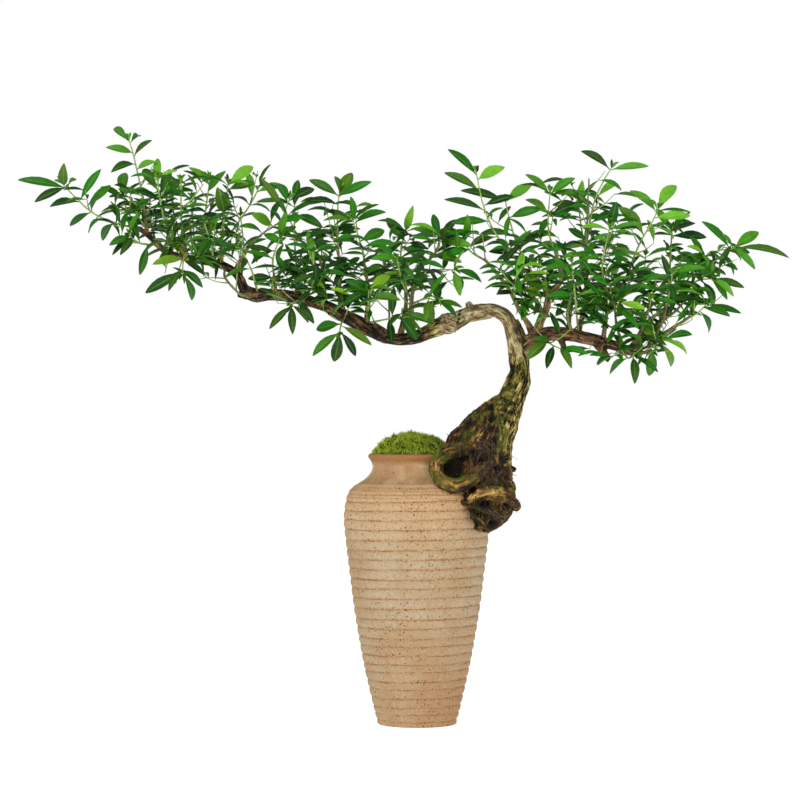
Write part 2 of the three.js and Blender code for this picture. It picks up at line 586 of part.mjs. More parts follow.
// The moss: a dome of soft lumps over its bed in the mouth.
function moss(cut) {
  const geometry = turned(MOSS, MOSS_SIDES);
  const corners = geometry.attributes.position;
  const [[waveX, riseX], [waveY, riseY]] = MOSS_WAVES;
  for (let i = 0; i < corners.count; i += 1) {
    const [x, y, z] = [corners.getX(i), corners.getY(i), corners.getZ(i)];
    const free = THREE.MathUtils.clamp((z - MOSS_LIP) / MOSS_EASE, 0, 1);
    const lumps = Math.sin(waveX * x + riseX * z) * Math.cos(waveY * y - riseY * z);
    const swell = 1 + free * MOSS_LUMP * lumps;
    corners.setXYZ(i, x * swell + free * MOSS_LEAN, y * swell, z + free * MOSS_RISE * lumps);
  }
  return largestBody(solid(geometry).subtract(cut));
}

// A leaf blade from base to tip: a six-cornered rim with a rib of full thickness. At a share s of its length
// L it rises by 4 arch L s (1 - s).
function blade({ base, tip, width, roll, facing }, extra = 0) {
  const along = tip.clone().sub(base);
  const length = along.length();
  along.normalize();
  const face = facing.clone().addScaledVector(along, -facing.dot(along)).normalize();
  face.applyAxisAngle(along, roll);
  const side = along.clone().cross(face);
  const at = (share, reach, lift) => base.clone()
    .addScaledVector(along, share * length)
    .addScaledVector(face, 4 * LEAF_ARCH * length * share * (1 - share) + lift)
    .addScaledVector(side, reach);
  const [near, far] = LEAF_STATIONS;
  const half = width / 2 + extra;
  const rim = [
    base, at(near, half, 0), at(far, LEAF_TAPER * half, 0),
    at(1 + extra / length, 0, 0), at(far, -LEAF_TAPER * half, 0), at(near, -half, 0),
  ];
  const lift = LEAF_THICKNESS / 2 + extra;
  const rib = (height) => LEAF_STATIONS.map((share) => at(share, 0, height - LEAF_FOLD));
  const ribs = [...rib(lift), ...rib(-lift)];
  const top = [[0, 1, 6], [0, 6, 5], [5, 6, 7], [5, 7, 4], [6, 1, 2], [6, 2, 7], [4, 7, 3], [7, 2, 3]];
  const lastRim = rim.length - 1;
  const under = top.map(([a, b, c]) => [a, c, b].map((i) => (i > lastRim ? i + LEAF_STATIONS.length : i)));
  return solid(closed([...rim, ...ribs], [...top, ...under].flat()));
}

// The nearest place to a point on the middle lines of the limbs and twigs.
function nearestWood(point) {
  const nearest = new THREE.Vector3();
  const here = new THREE.Vector3();
  let best = Infinity;
  for (const limb of [TRUNK, RIGHT_LIMB, ...TWIGS]) {
    const stations = stationsOf(limb);
    for (let i = 1; i < stations.length; i += 1) {
      new THREE.Line3(stations[i - 1].place, stations[i].place).closestPointToPoint(point, true, here);
      if (here.distanceTo(point) < best) {
        best = here.distanceTo(point);
        nearest.copy(here);
      }
    }
  }
  return nearest;
}

// The middle line of a spray's stem, from inside the wood that carries it.
function stemLine({ stem, depth: [rootDepth, tipDepth] }) {
  const last = stem.length - 1;
  const points = stem.map(([x, z], i) => seen(x, z, THREE.MathUtils.lerp(rootDepth, tipDepth, i / last)));
  const root = nearestWood(points[0]);
  if (root.distanceTo(points[0]) < STEM_START) {
    points.shift();
  }
  return [root, ...points];
}

// The point a share of the way along a line of points, with the direction there.
function along(points, share) {
  const lengths = points.slice(1).map((point, i) => point.distanceTo(points[i]));
  let left = share * lengths.reduce((sum, length) => sum + length, 0);
  let i = 0;
  while (i < lengths.length - 1 && left > lengths[i]) {
    left -= lengths[i];
    i += 1;
  }
  const direction = points[i + 1].clone().sub(points[i]).normalize();
  return { place: points[i].clone().addScaledVector(direction, left), direction };
}

// The point of a line, from one of its steps on, whose distance from x and z in the front view is nearest to
// the wanted one.
function baseOn(points, x, z, wanted = 0, firstStep = 0) {
  let best = null;
  for (let step = firstStep; step <= STEM_STEPS; step += 1) {
    const here = along(points, (LAST_NODE * step) / STEM_STEPS).place;
    const miss = Math.abs(here.distanceTo(seen(x, z, here.y)) - wanted);
    if (!best || miss < best.miss) {
      best = { miss, here };
    }
  }
  return best.here;
}

// A leaf whose tip the front view gives. What it lacks in length there it has in depth.
function tracedLeaf(points, [x, z, width, baseX, baseZ], key, turn) {
  const base = baseX === undefined
    ? baseOn(points, x, z, TRACED_REACH * LEAF_LENGTH, FIRST_STEP)
    : baseOn(points, baseX, baseZ);
  const flat = seen(x, z, base.y).distanceTo(base);
  const length = LEAF_LENGTH * pick(TRACED_LENGTH, key, 1);
  const depth = Math.sqrt(Math.max(length ** 2 - flat ** 2, TRACED_DEPTH ** 2));
  const sign = draw(key, 2) < 0.5 ? -1 : 1;
  const tip = seen(x, z, base.y + sign * depth * Math.cos(turn));
  return { base, tip, width, roll: pick(TRACED_ROLL, key, 3), facing: TRACED_FACING };
}

// A leaf of an opposite pair. Each pair stands a quarter turn from the one below it.
function pairedLeaf({ points, pairs, size }, pair, side, key, turn) {
  const share = THREE.MathUtils.lerp(FIRST_NODE, 1, (pair + 1) / pairs);
  const { place, direction } = along(points, Math.min(share, LAST_NODE));
  const out = new THREE.Vector3(0, 1, 0).cross(direction).normalize();
  out.applyAxisAngle(direction, (pair * Math.PI) / 2 + side * Math.PI + pick(PAIR_TWIST, key, 4) + turn);
  const spread = pick(pair === pairs - 1 ? TOP_SPREAD : PAIR_SPREAD, key, 5);
  const heading = direction.clone().multiplyScalar(Math.cos(spread)).addScaledVector(out, Math.sin(spread));
  heading.z = PAIR_LEVEL * heading.z - pick(PAIR_DROOP, key, 6);
  const length = size * LEAF_LENGTH * pick(PAIR_LENGTH, key, 7);
  const width = size * LEAF_WIDTH * pick(PAIR_WIDTH, key, 8);
  const tip = place.clone().addScaledVector(heading.normalize(), length);
  return { base: place, tip, width, roll: pick(PAIR_ROLL, key, 9), facing: LEAF_FACING };
}

// Whether two solids share more than a little space.
function meet(first, second, allowed = CLEAR_VOLUME) {
  const one = first.boundingBox();
  const two = second.boundingBox();
  const apart = [0, 1, 2].some((axis) => one.max[axis] < two.min[axis] || two.max[axis] < one.min[axis]);
  return !apart && first.intersect(second).volume() > allowed;
}

// A spray's leaves in the order that they are placed, each as a function of its turn.
function wantedLeaves(spray, number) {
  const traced = (leaf, i) => (turn) => tracedLeaf(spray.points, leaf, KEYS * number + i, turn);
  const wanted = spray.leaves.map(traced);
  for (let pair = 0; pair < spray.pairs; pair += 1) {
    for (const side of [0, 1]) {
      const key = KEYS * number + PAIR_KEYS + 2 * pair + side;
      wanted.push((turn) => pairedLeaf(spray, pair, side, key, turn));
    }
  }
  return wanted;
}

// Every spray: its stem first, then each leaf that finds a clear place.
function sprays(clearWood) {
  const pads = { left: LEFT_PAD, middle: MIDDLE_PAD, right: RIGHT_CROWN };
  const named = ([side, pad]) => pad.map((plan, i) => (
    { ...plan, name: `${side}_spray_${i + 1}`, size: PAD_SIZES[side] }));
  const grown = Object.entries(pads).flatMap(named);
  for (const spray of grown) {
    spray.points = stemLine(spray);
    const last = spray.points.length - 1;
    const taper = (i) => 1 - (STEM_TAPER * i) / last;
    const stations = spray.points.map((place, i) => ({ place, radius: STEM_RADIUS * taper(i) }));
    spray.stemSolid = tube(stations, STEM_SIDES);
    spray.wideStem = tube(stations, STEM_SIDES, 0, CLEARANCE);
    spray.blades = [];
  }
  const blocked = (wide, spray) => meet(wide, clearWood) || grown.some((other) => (other === spray
    ? other.blades.some((placed) => meet(wide, placed, SHARED_VOLUME))
    : meet(wide, other.stemSolid) || other.blades.some((placed) => meet(wide, placed))));
  grown.forEach((spray, number) => {
    for (const leafAt of wantedLeaves(spray, number)) {
      const clear = TURNS.map(leafAt).find((leaf) => !blocked(blade(leaf, CLEARANCE), spray));
      if (clear) {
        spray.blades.push(blade(clear));
      }
    }
  });
  return grown;
}

const tree = wood();
const clearTree = wood(CLEARANCE);
const bonsai = new THREE.Group();
bonsai.add(mesh("vase", vase(clearTree), STONEWARE));
bonsai.add(mesh("soil", soil(clearTree), SOIL));
bonsai.add(mesh("moss", moss(clearTree), MOSS_GREEN));
bonsai.add(mesh("tree_wood", tree, BARK));
const grown = sprays(clearTree);
grown.forEach((spray, number) => {
  // Where two stems leave the wood side by side, the later one is cut back to stand beside the first.
  const beside = grown.slice(0, number).filter((other) => meet(spray.wideStem, other.stemSolid));
  const cut = wasm.Manifold.union([clearTree, ...beside.map((other) => other.wideStem)]);
  const whole = wasm.Manifold.union([spray.stemSolid, ...spray.blades]).subtract(cut);
  bonsai.add(mesh(spray.name, largestBody(whole), LEAF_GREEN));
});

export default bonsai;
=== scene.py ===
"""The looks of a serissa bonsai whose root mass sits in the broken shoulder of a ringed stoneware vase.

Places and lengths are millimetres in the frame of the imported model: +Z up, +X to the right and +Y away
from the front, with the origin at the centre of the vase's foot. They become metres as a mesh is made.
"""
import math
from functools import partial

import bpy
import numpy as np
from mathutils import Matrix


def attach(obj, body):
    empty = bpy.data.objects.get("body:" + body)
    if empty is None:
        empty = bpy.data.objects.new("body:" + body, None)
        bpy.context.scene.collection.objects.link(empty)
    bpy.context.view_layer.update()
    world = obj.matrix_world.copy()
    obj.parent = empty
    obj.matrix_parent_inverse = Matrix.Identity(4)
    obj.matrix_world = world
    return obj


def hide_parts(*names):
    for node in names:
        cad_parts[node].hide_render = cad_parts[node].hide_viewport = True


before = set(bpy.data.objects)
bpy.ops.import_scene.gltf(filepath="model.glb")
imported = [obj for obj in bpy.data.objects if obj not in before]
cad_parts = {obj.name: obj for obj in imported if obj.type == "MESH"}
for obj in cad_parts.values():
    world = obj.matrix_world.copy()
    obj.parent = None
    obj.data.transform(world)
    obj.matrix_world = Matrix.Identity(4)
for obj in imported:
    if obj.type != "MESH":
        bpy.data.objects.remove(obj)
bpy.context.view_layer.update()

MM = 0.001
WHITE = (1.0, 1.0, 1.0, 1.0)

# The eye of the front view, level with the middle of the picture.
EYE_DISTANCE = 1500
EYE_X = -9.4
EYE_Z = 179.7
LENS = 121.5

# The sky's strength, the lamps' watts, how much the floor glows, and half its width.
SKY_LIGHT = 0.47
KEY_POWER = 16.5
FILL_POWER = 4
FLOOR_GLOW = 0.6
FLOOR_REACH = 12000.0

# Draws and noise are what is left after the point of a large sine, with these rates along its inputs.
SCATTER_RATES = (12.9898, 78.233, 37.719)
SCATTER_SIZE = 43758.5453
SEED_STEP = 5.17
# A rod's corners, and the grain of the wood, are measured from a direction square to this one.
CROSSWISE = (0.13, 1.0, 0.07)

# The vase. A profile point is a height and an outer radius.
VASE_SIDES = 216
VASE_ROW = 0.5
VASE_FOOT_EDGE = 0.5
VASE_RIM = (149.4, 26.9)
RING_DEPTH = 0.9
RING_TILT = 0.02
RING_HEIGHTS = [
    3, 7, 11, 16, 21, 25.5, 31, 35, 40, 45, 49.5, 55, 60, 66, 71.5, 77, 82, 87.5, 93, 98, 103.5, 109,
    114.5, 119.5, 124.5, 128.6, 131.6, 134,
]
BODY = [
    (0, 21.4), (12, 24.4), (34, 29.4), (62, 34.3), (84, 37.1), (103, 39.4), (115, 40.3), (126, 38.7),
]
NECK = [
    (131, 36), (135.5, 29.6), (139, 26.2), (142.5, 24.8), (146, 25.8), (148, 27.2), (149.4, 27),
]
# The rolled lip, and the inside of the wall down to the floor.
LIP = [(149.9, 26.2), (150, 25.6), (149.5, 24.6), (147.5, 23), (142, 20.6), (134, 26), (126, 34.4)]
INSIDE = [(105, 34.5), (84, 33), (45, 27), (6, 18.6)]
# The egg-shaped gap in the shoulder: its centre, its half sizes and its turn about the axis in radians.
GAP_CENTRE = (24, -27, 141)
GAP_HALF_SIZE = (9, 12, 8)
GAP_TURN = 0.7
# Around the wood, this much of the vase is cut away too.
WOOD_CLEARANCE = 0.35
# How fast the fine lines on the shoulder follow each other, in radians to a metre of height.
SHOULDER_LINES = 3300.0

# The moss cushion in the vase's mouth, as heights and radii.
MOSS = [
    (143.6, 19.9), (146.5, 21.7), (149.6, 24), (151.6, 23.6), (154.6, 21.2), (157.6, 17.2), (160, 12),
    (161.5, 6), (162.2, 1.5),
]
MOSS_LEAN = -2
# The dome under the tufts is smaller and lower than the cushion's outline by these.
MOSS_SHRINK = 0.13
MOSS_DROP = 1.6
MOSS_TUFTS = 9000
# The tufts on the wood, which end at this height.
ROOT_TUFTS = 2400
ROOT_TUFTS_END = 190
# A tuft: its length and foot radius, how much its lean and its length vary, and how deep its foot sits.
TUFT_LENGTH = 1.9
TUFT_WIDTH = 0.3
TUFT_LEAN = 0.42
TUFT_SIZES = (0.55, 1.25)
TUFT_SUNK = 0.4

# A leaf blade. Its middle arches by this share of its length, and its skin is this thick under the rib.
LEAF_LENGTH = 18.5
LEAF_WIDTH = 5.4
LEAF_ARCH = 0.1
LEAF_SKIN = 0.3
# Its rows of corners: how far along it they lie, and their share of its half width.
LEAF_ROWS = [0.03, 0.12, 0.26, 0.42, 0.58, 0.74, 0.88, 0.96]
LEAF_SPREAD = [0.1, 0.18, 0.6, 0.92, 1.0, 0.84, 0.52, 0.24]
# The corners of a row: their shares of its half width, their lifts, and which one lies under the rib.
LEAF_COLUMNS = [-1, -0.55, 0, 0.55, 1, 0]
LEAF_LIFTS = [0.6, 0.2, -0.5, 0.2, 0.6, -0.5]
LEAF_UNDER = [0, 0, 0, 0, 0, 1]
# The way its upper side faces, for leaves in pairs and for traced ones.
LEAF_FACING = (0.1, -0.65, 0.9)
TRACED_FACING = (0.1, -1, 0.5)
# Blades are shaded smooth but for edges sharper than this, which are their rims.
RIM_ANGLE = math.radians(60)
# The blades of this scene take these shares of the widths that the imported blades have.
TRACED_SLIM = 0.94
PAIR_SLIM = 0.78
# Left of this x, the blades are slimmer by this factor, and this share of the small added leaves is left out.
LEFT_PAD_END = -88
LEFT_PAD_SLIM = 0.8
LEFT_PAD_AIR = 0.3
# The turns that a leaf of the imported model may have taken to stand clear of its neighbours.
TURNS = [0, 0.45, -0.45, 0.9, 2.4, 3.14, 1.57]

# Leaves in pairs stand above the first of these shares of their stem and not beyond the second.
FIRST_NODE = 0.3
LAST_NODE = 0.97
# How far they lean from the stem in radians, at least and by how much more. The topmost pair leans less.
PAIR_LEAN = (1.05, 0.3)
TOP_LEAN = (0.85, 0.35)
# They keep this share of their rise or fall, and droop by up to the second.
LEAF_LEVEL = 0.6
LEAF_DROOP = 0.25
# A traced leaf without a base shows this share of its length, and each has at least this much depth.
SHOWN_SHARE = 0.85
LEAST_DEPTH = 3
# In how many steps a base is searched along the stem.
BASE_STEPS = 60
# A stem's first point is left out where it lies this near to the wood.
NEAR_WOOD = 3

# Green stems: radius, its shares at foot and tip, points and sides.
STEM_RADIUS = 0.62
STEM_TAPER = (1.15, 0.55)
STEM_POINTS = 9
STEM_SIDES = 5
# Side shoots of a spray and of a twig: how many, where they begin, and over what share of it they stand.
SHOOTS = 3
SHOOT_SPAN = (0.08, 0.7)
TWIG_SHOOTS = 4
TWIG_SPAN = (0.2, 0.8)
SHOOT_PAIRS = 3
SHOOT_THICK = 0.6
# Their small leaves: least sizes on side shoots and on shoots with a set end, how fresh, and the painted
# shade that darkens these inner leaves.
SIDE_SIZE = 0.58
END_SIZE = 0.68
SMALL_FRESH = 0.5
SMALL_PAINTED_SHADE = 0.75
BUD_WIDTH = 1.6
BUD_FRESH = 2.5
# How far forward and back they may reach.
FRONT_MOST = -54
BACK_MOST = 53
# The twigs between these x bear inner shoots that make one piece.
INNER_REACHES = [
    ("left_inner_leaves", -300, -50), ("middle_inner_leaves", -50, 40), ("right_inner_leaves", 40, 300),
]

# What each draw of a leaf or a shoot decides.
TRACED_LENGTH, TRACED_SIDE, TRACED_ROLL = 1, 2, 3
PAIR_TURN, PAIR_SPREAD, PAIR_DROOP, PAIR_LENGTH, PAIR_WIDTH, PAIR_ROLL = 4, 5, 6, 7, 8, 9
TONE, YOUNG_TIP, YOUNG_CHANCE, CURL = 11, 12, 13, 14
SHOOT_PLACE, SHOOT_TURN, SHOOT_REACH, SMALL_SIZE, BUD_TURN, BUD_LENGTH, LEFT_OUT = 21, 22, 23, 24, 25, 26, 28
# Each spray has a hundred keys for its draws, of which its pairs and its bud take the later ones. The shoots
# of the sprays, those of the twigs and those with a set end begin at keys of their own.
SPRAY_KEYS, PAIR_KEYS, BUD_KEYS = 100, 50, 90
SHOOT_KEYS, TWIG_KEYS, END_KEYS = 7000, 20000, 40000

# Painted light on the leaves: how light a leaf is painted at the foot of the foliage and in the crown, as x
# and light. From the first height above the foot, this painted shade of the foot fades over the second.
FOOT_PAINTED_LIGHT = [(0, 0.42), (60, 0.82)]
CROWN_PAINTED_LIGHT = [(40, 1), (120, 1.1)]
FOOT_HEIGHT = 8
RISE_HEIGHT = 55
# Lime places reach back to this depth, and no leaf is younger than the second.
LIME_BACK = 10
MOST_YOUNG = 1.4

# The stout wood is merged on a grid of this pitch from rods with this many sides.
WOOD_GRID = 0.53
LIMB_SIDES = 20
TWIG_POINTS, TWIG_SIDES = 24, 9
HAIR_POINTS, HAIR_SIDES = 12, 4
# The cells of the front view, and the depth where no wood is.
FRONT_CELLS = (600, 400)
FAR_BEHIND = 60.0
# Between these heights the look of the roots ends and that of the limbs starts.
ROOTS_END = (196, 176)
LIMBS_START = (196, 206)
# Between these x the left limb turns dark and the right one reddish.
DARK_LEFT = (13, 2)
RED_RIGHT = (58, 64)
# Among the limbs, the number of the first root, and of the two roots that stand out as loops.
FIRST_ROOT = 3
LOOP_ROOTS = (3, 4)

# Each limb of the wood is a list of x, y, z and radius.
ROOT_MASS = [
    (50.5, -7, 178, 7.9), (43.5, -11, 167, 13.2), (36.8, -15, 157, 16.4), (37, -17, 147, 15.2),
    (38, -19, 136, 14.2), (39.3, -21, 125, 14.2), (36.5, -22, 115, 10.8), (34.5, -22, 108.6, 5),
]
TRUNK = [
    (44, -10, 160, 9), (48.6, -7, 172, 9), (52.6, -5, 181, 7.6), (56.2, -3, 190, 6.7),
    (57.2, -1, 196, 6.1), (56.6, 0, 202, 5.9), (55.5, 0, 208, 5.2), (53.2, -1, 215, 4.1),
    (52, -2, 221, 3.9), (49.5, -3, 225.7, 4), (45, -4, 228.7, 3.9), (40, -4, 229.8, 3.7),
    (33, -4, 229, 3.8), (27, -4, 226.4, 4.3), (22, -3, 223.8, 5.2), (17.5, -2, 222.3, 6.1),
    (12, -2, 220.2, 5), (0, -1, 215, 4), (-10, 0, 213.3, 3.4), (-20, 2, 215.8, 3.8),
    (-30, 4, 221, 4.3), (-40, 5, 226.3, 3.8), (-50, 5, 231.7, 3.3), (-60, 4, 234.8, 3.3),
    (-70, 3, 237.2, 3.6), (-80, 2, 238.3, 3.4), (-90, 0, 238, 4), (-96, -1, 241.5, 3.1),
    (-98, -1, 246.5, 2.6), (-102, 0, 251.3, 2.4), (-110, 2, 255.2, 2.3), (-121, 3, 257.5, 2.2),
    (-130, 3, 259.2, 2.1), (-138, 2, 261.4, 1.9), (-144, 1, 266, 1.8), (-149, 0, 271, 1.6),
    (-155, -1, 275.5, 1.3),
]
RIGHT_LIMB = [
    (54, 0, 204, 4.4), (60, 0, 210.5, 3.9), (64.5, 0, 214, 3.6), (71, 1, 216.4, 3.7), (80, 1, 217, 3),
    (90, 0, 215.5, 2.8), (100, -2, 213, 2.9), (108, -3, 210.4, 2.9), (116, -4, 208, 2.4),
    (121, -4, 210, 1.9), (128, -3, 215.6, 1.6), (135, 0, 223, 1.4), (142, 2, 232, 1.2),
    (148, 3, 241, 1),
]
ROOTS = [
    [
        (29, -26, 154, 4.2), (17.5, -29, 151, 3.9), (10.8, -30, 146, 3.7), (10.4, -30, 139.8, 3.7),
        (15, -32, 134.6, 3.7), (21.5, -33, 133, 3.8), (28, -33, 135.6, 3.8), (33.5, -32, 140.4, 3.8),
        (39, -28, 145.5, 4),
    ],
    [
        (28, -27, 122, 2.6), (32, -32, 125.6, 2.5), (39, -34.6, 128, 2.7), (46, -32.5, 127, 2.8),
        (52, -27, 124, 3), (54.6, -20, 121, 2.6),
    ],
    [(45, -24, 146, 4), (47, -29, 138, 3.4), (44, -31, 130, 3)],
    [(46, -16, 143.5, 3), (54.4, -15, 141.3, 1.2)],
    [(30, -12, 164, 5), (21, -16, 158, 4.4), (18, -22, 150, 3.6)],
]
STUBS = [
    [(17.5, -3, 222.5, 6.5), (12.4, -4, 224.5, 3.2)],
    [(31, -4, 228, 3), (28, -4, 234, 1.5)],
    [(-90, 0, 238, 3.8), (-99.5, -2, 238, 1.3)],
    [(98, -2, 212.6, 2.3), (106, -5, 200.8, 0.8)],
    [(79, 1, 215.5, 2.2), (83, -2, 206, 1.2)],
    [(65, 0, 215, 2.8), (61, -2, 223.5, 1.5)],
    [(-18, 1, 216, 3.4), (-24, 0, 222.4, 1)],
]
TWIGS = [
    [
        (65, 0, 214, 3), (69, -2, 224, 2.4), (72, -3, 231, 2.1), (73.5, -3, 238, 1.7),
        (80, -4, 246, 1.3), (77, -5, 261, 1),
    ],
    [(72.5, -3, 236, 1.6), (70, -5, 243, 1.3), (62, -7, 249, 1)],
    [
        (63, -1, 219, 1.6), (56, -6, 231, 1.2), (52, -8, 239, 1.1), (46, -8, 247, 1),
        (37, -6, 258, 0.9),
    ],
    [(84, 1, 216, 1.6), (85, 4, 226, 1.2), (87, 8, 236, 0.9)],
    [
        (89, 0, 215, 1.8), (91.5, 3, 224, 1.5), (94, 6, 233, 1.3), (95, 9, 247, 1.1),
        (94.5, 8, 262, 0.9),
    ],
    [(94.5, 8, 260, 0.9), (95, 7, 275, 0.7), (96, 6, 303.5, 0.6)],
    [(103, -2, 211.5, 1.6), (105, -6, 230, 1), (104, -10, 244, 0.8)],
    [(104.5, -5, 226, 0.9), (113, -5, 242, 0.8), (118, -5, 252, 0.8)],
    [(141.5, 2, 231, 1), (141, 8, 249, 0.9)],
    [(123, -4, 211.5, 1.5), (127, -7, 222, 1.1), (138, -10, 231, 0.9)],
    [(128, -3, 215.4, 1.4), (134, -5, 216, 1.1), (142, -8, 220, 1), (151, -9, 226, 0.8)],
    [(111, -3, 209, 2), (118, -8, 205.6, 1.4), (128, -11, 206, 1)],
    [(118, -5, 208, 1.4), (123, -13, 217, 1), (126, -15, 226, 0.9), (129, -15, 233, 0.7)],
    [(-150, 0, 271.5, 1.4), (-151, 2, 281, 1)],
    [(-137, 2, 261, 1.5), (-136, 6, 270, 1)],
    [(-128, 3, 259, 1.5), (-130, -6, 270, 1)],
    [(-120, 3, 257, 1.5), (-119, 4, 268, 1)],
    [(-109, 2, 254.6, 1.6), (-108, -4, 267, 1.1)],
    [(-101, 0, 250.6, 1.7), (-94, -3, 264, 1)],
    [(-79, 2, 238, 2), (-79, -6, 248, 1.1)],
    [(-66, 3, 236.2, 2), (-67, 8, 251, 1.1)],
    [(-41, 5, 226.6, 2.2), (-43, 4, 240, 1.4), (-43, 3, 256, 1)],
    [(-28, 3.6, 220, 2), (-27, -2, 238, 1.2), (-29, -7, 254, 0.9)],
    [(-10, 0, 213.3, 2), (-6, 8, 232, 1.2), (-7, 11, 250, 0.9)],
    [(-2, -1, 215.6, 2), (-3, -4, 235, 1.2), (1, -6, 251, 1), (8, -7, 259, 0.8)],
    [(-90, 0, 238, 2.2), (-98, -9, 238.5, 0.8), (-106, -6, 247, 0.7), (-107, 1, 253.6, 0.7)],
]
# Each spray: the x and z of its stem in the front view, the depths of its root and tip, its number of leaf
# pairs, and its traced leaves. A traced leaf is the x and z of its tip, its width and, for some, the x and z
# of its base.
LEFT_PAD = [
    (((-155, 275), (-166, 277.5), (-180, 283.5), (-190, 292.5), (-197, 300)), (0, -6), 0, [
        (-222, 302, 5.5, -194, 297), (-212.5, 289.5, 5.5, -195, 297), (-196, 311.5, 6, -197, 300),
        (-189, 302, 5, -193, 296), (-175.5, 308, 5, -187, 290), (-170, 299, 5, -184, 287),
        (-204, 287, 6, -187, 289), (-193, 276.5, 5, -181, 284), (-182.5, 272.5, 5, -174, 281),
        (-175, 268.5, 6.5, -168, 279), (-176, 294, 5, -181, 284), (-171, 288, 5, -164, 277),
    ]),
    (((-147, 266), (-154, 267), (-160, 271)), (-2, -16), 1, [
        (-165, 260, 5, -158, 270), (-171, 265.5, 5, -160, 271), (-154, 249, 5, -150, 264),
        (-161, 281, 5),
    ]),
    (((-151, 282), (-153, 296), (-155, 305), (-158, 318), (-160, 324)), (3, 8), 0, [
        (-168, 331, 5, -160, 324), (-154, 326, 4, -160, 322), (-147, 324, 5, -157, 315),
        (-173, 320, 5, -158, 317), (-145, 312, 5, -155, 308), (-170, 306, 6, -157, 310),
        (-141, 303, 5, -154, 300), (-166, 297, 6, -153, 293),
    ]),
    (((-138, 268), (-142, 287), (-144.5, 303)), (-4, -12), 1, [
        (-144, 314, 5), (-152, 308, 6), (-137, 308, 6), (-131, 301, 5), (-157, 296, 5),
    ]),
    (((-156, 277), (-161, 285), (-163, 293)), (2, 15), 2, [
        (-162.5, 306, 7, -163, 293), (-176, 298, 5, -163, 291),
    ]),
    (((-136, 270), (-135, 280), (-136, 296)), (8, 26), 3, []),
    (((-130, 268), (-131, 284), (-131, 301)), (-6, -22), 3, []),
    (((-119, 266), (-117.5, 284), (-115, 302)), (4, 8), 2, [(-127, 309, 5), (-106, 307, 5)]),
    (((-108, 266), (-107, 282), (-105, 300)), (-4, -20), 1, [
        (-91, 309.5, 7), (-111, 298, 8), (-90, 300, 6),
    ]),
    (((-107, 266), (-94, 286), (-87, 299)), (-2, 22), 2, [(-74, 299, 6), (-94, 306, 5)]),
    (((-94, 264), (-86, 272), (-76, 279), (-71, 291)), (-4, -12), 0, [
        (-87, 303, 5, -75, 284), (-57, 297, 6, -71, 291), (-77, 300, 6, -72, 289),
        (-92, 283, 7, -80, 276), (-62, 281, 6, -78, 278), (-99, 276, 5, -86, 272),
        (-89, 256, 5, -91, 267), (-74, 266, 5, -86, 272),
    ]),
    (((-128, 258), (-128, 262), (-130, 256), (-130, 249)), (0, -34), 0, [
        (-147, 255, 6, -130, 258), (-139, 270, 6, -129, 259), (-110, 259, 5, -128, 261),
        (-151, 239, 6.5, -130, 251), (-119, 242, 5, -130, 252), (-125, 235, 5, -130, 250),
        (-138, 240, 5, -130, 251),
    ]),
    (((-79, 247), (-80, 258), (-76, 270)), (-6, -20), 2, [
        (-96, 262, 4), (-94, 247, 5, -79, 247), (-92, 255, 4), (-72, 284, 5),
    ]),
    (((-67, 250), (-68, 270), (-68, 288)), (8, 16), 3, [(-52, 275, 6, -68, 282), (-66, 302, 5)]),
    (((-145, 267), (-148, 278), (-152, 290)), (2, 40), 3, []),
    (((-122, 258), (-124, 272), (-125, 292)), (3, 44), 3, []),
    (((-98, 246), (-96, 262), (-98, 282)), (0, 42), 3, []),
    (((-113, 256), (-114, 264), (-118, 278)), (2, -42), 3, []),
    (((-88, 240), (-92, 252), (-98, 264)), (0, -40), 3, []),
]
MIDDLE_PAD = [
    (((-43, 254), (-44, 270), (-44, 285), (-43, 296)), (3, 6), 2, [
        (-60, 302, 6, -44, 293), (-36, 306, 7.5), (-25, 301, 6, -43, 293), (-62, 290, 5),
    ]),
    (((-29, 252), (-30, 262), (-33, 272), (-36, 280)), (-7, -16), 1, [
        (-17, 284, 6, -34, 278), (-37, 293, 5, -36, 280), (-18, 274, 7, -31, 268),
        (-11, 266, 5, -30, 264), (-51, 285, 5, -36, 280),
    ]),
    (((-7, 248), (-9, 262), (-6, 274)), (11, 20), 3, [(-2, 288, 5), (-17, 281, 6.5)]),
    (((8, 258), (12, 264), (13, 271)), (-7, -9), 1, [
        (-3, 275, 5), (9, 283, 5), (22, 280, 5), (31, 265, 6), (25, 256, 6, 9, 260),
    ]),
    (((1, 250), (12, 252), (21, 252)), (-6, -24), 1, [
        (36, 245, 6), (23, 238, 7, 19, 252), (12, 235, 6, 9, 252),
    ]),
    (((-3, 233), (5, 236), (11, 235)), (-4, -28), 2, [(22, 226, 5, 11, 235), (7, 221, 5, 9, 235)]),
    (((-28, 222), (-15, 225), (-8, 228)), (2, -20), 2, [
        (0, 213, 6, -10, 227), (10, 222, 5, -8, 228), (-14, 211, 5, -16, 225),
    ]),
    (((-40, 226), (-42, 222), (-43, 217)), (4, -18), 0, [
        (-58, 204, 6, -43, 217), (-46, 201, 7, -43, 218), (-34, 204, 5, -43, 218),
        (-25, 210, 5, -42, 221), (-56, 219, 7, -42, 222),
    ]),
    (((-61, 235), (-66, 235), (-70, 232)), (4, -18), 1, [(-82, 219, 5), (-69, 216, 5), (-57, 222, 5)]),
    (((-28, 222), (-27, 232), (-27, 241)), (2, -34), 1, [
        (-9, 235, 6.5), (-15, 249, 6.5), (-40, 246, 7), (-41, 232, 6),
    ]),
    (((-50, 232), (-52, 252), (-54, 272)), (5, 42), 3, []),
    (((-15, 215), (-16, 240), (-20, 262)), (1, 44), 3, []),
    (((-52, 232), (-56, 248), (-58, 262)), (5, -38), 3, []),
    (((-4, 237), (-8, 245), (-11, 258)), (0, -35), 3, []),
]
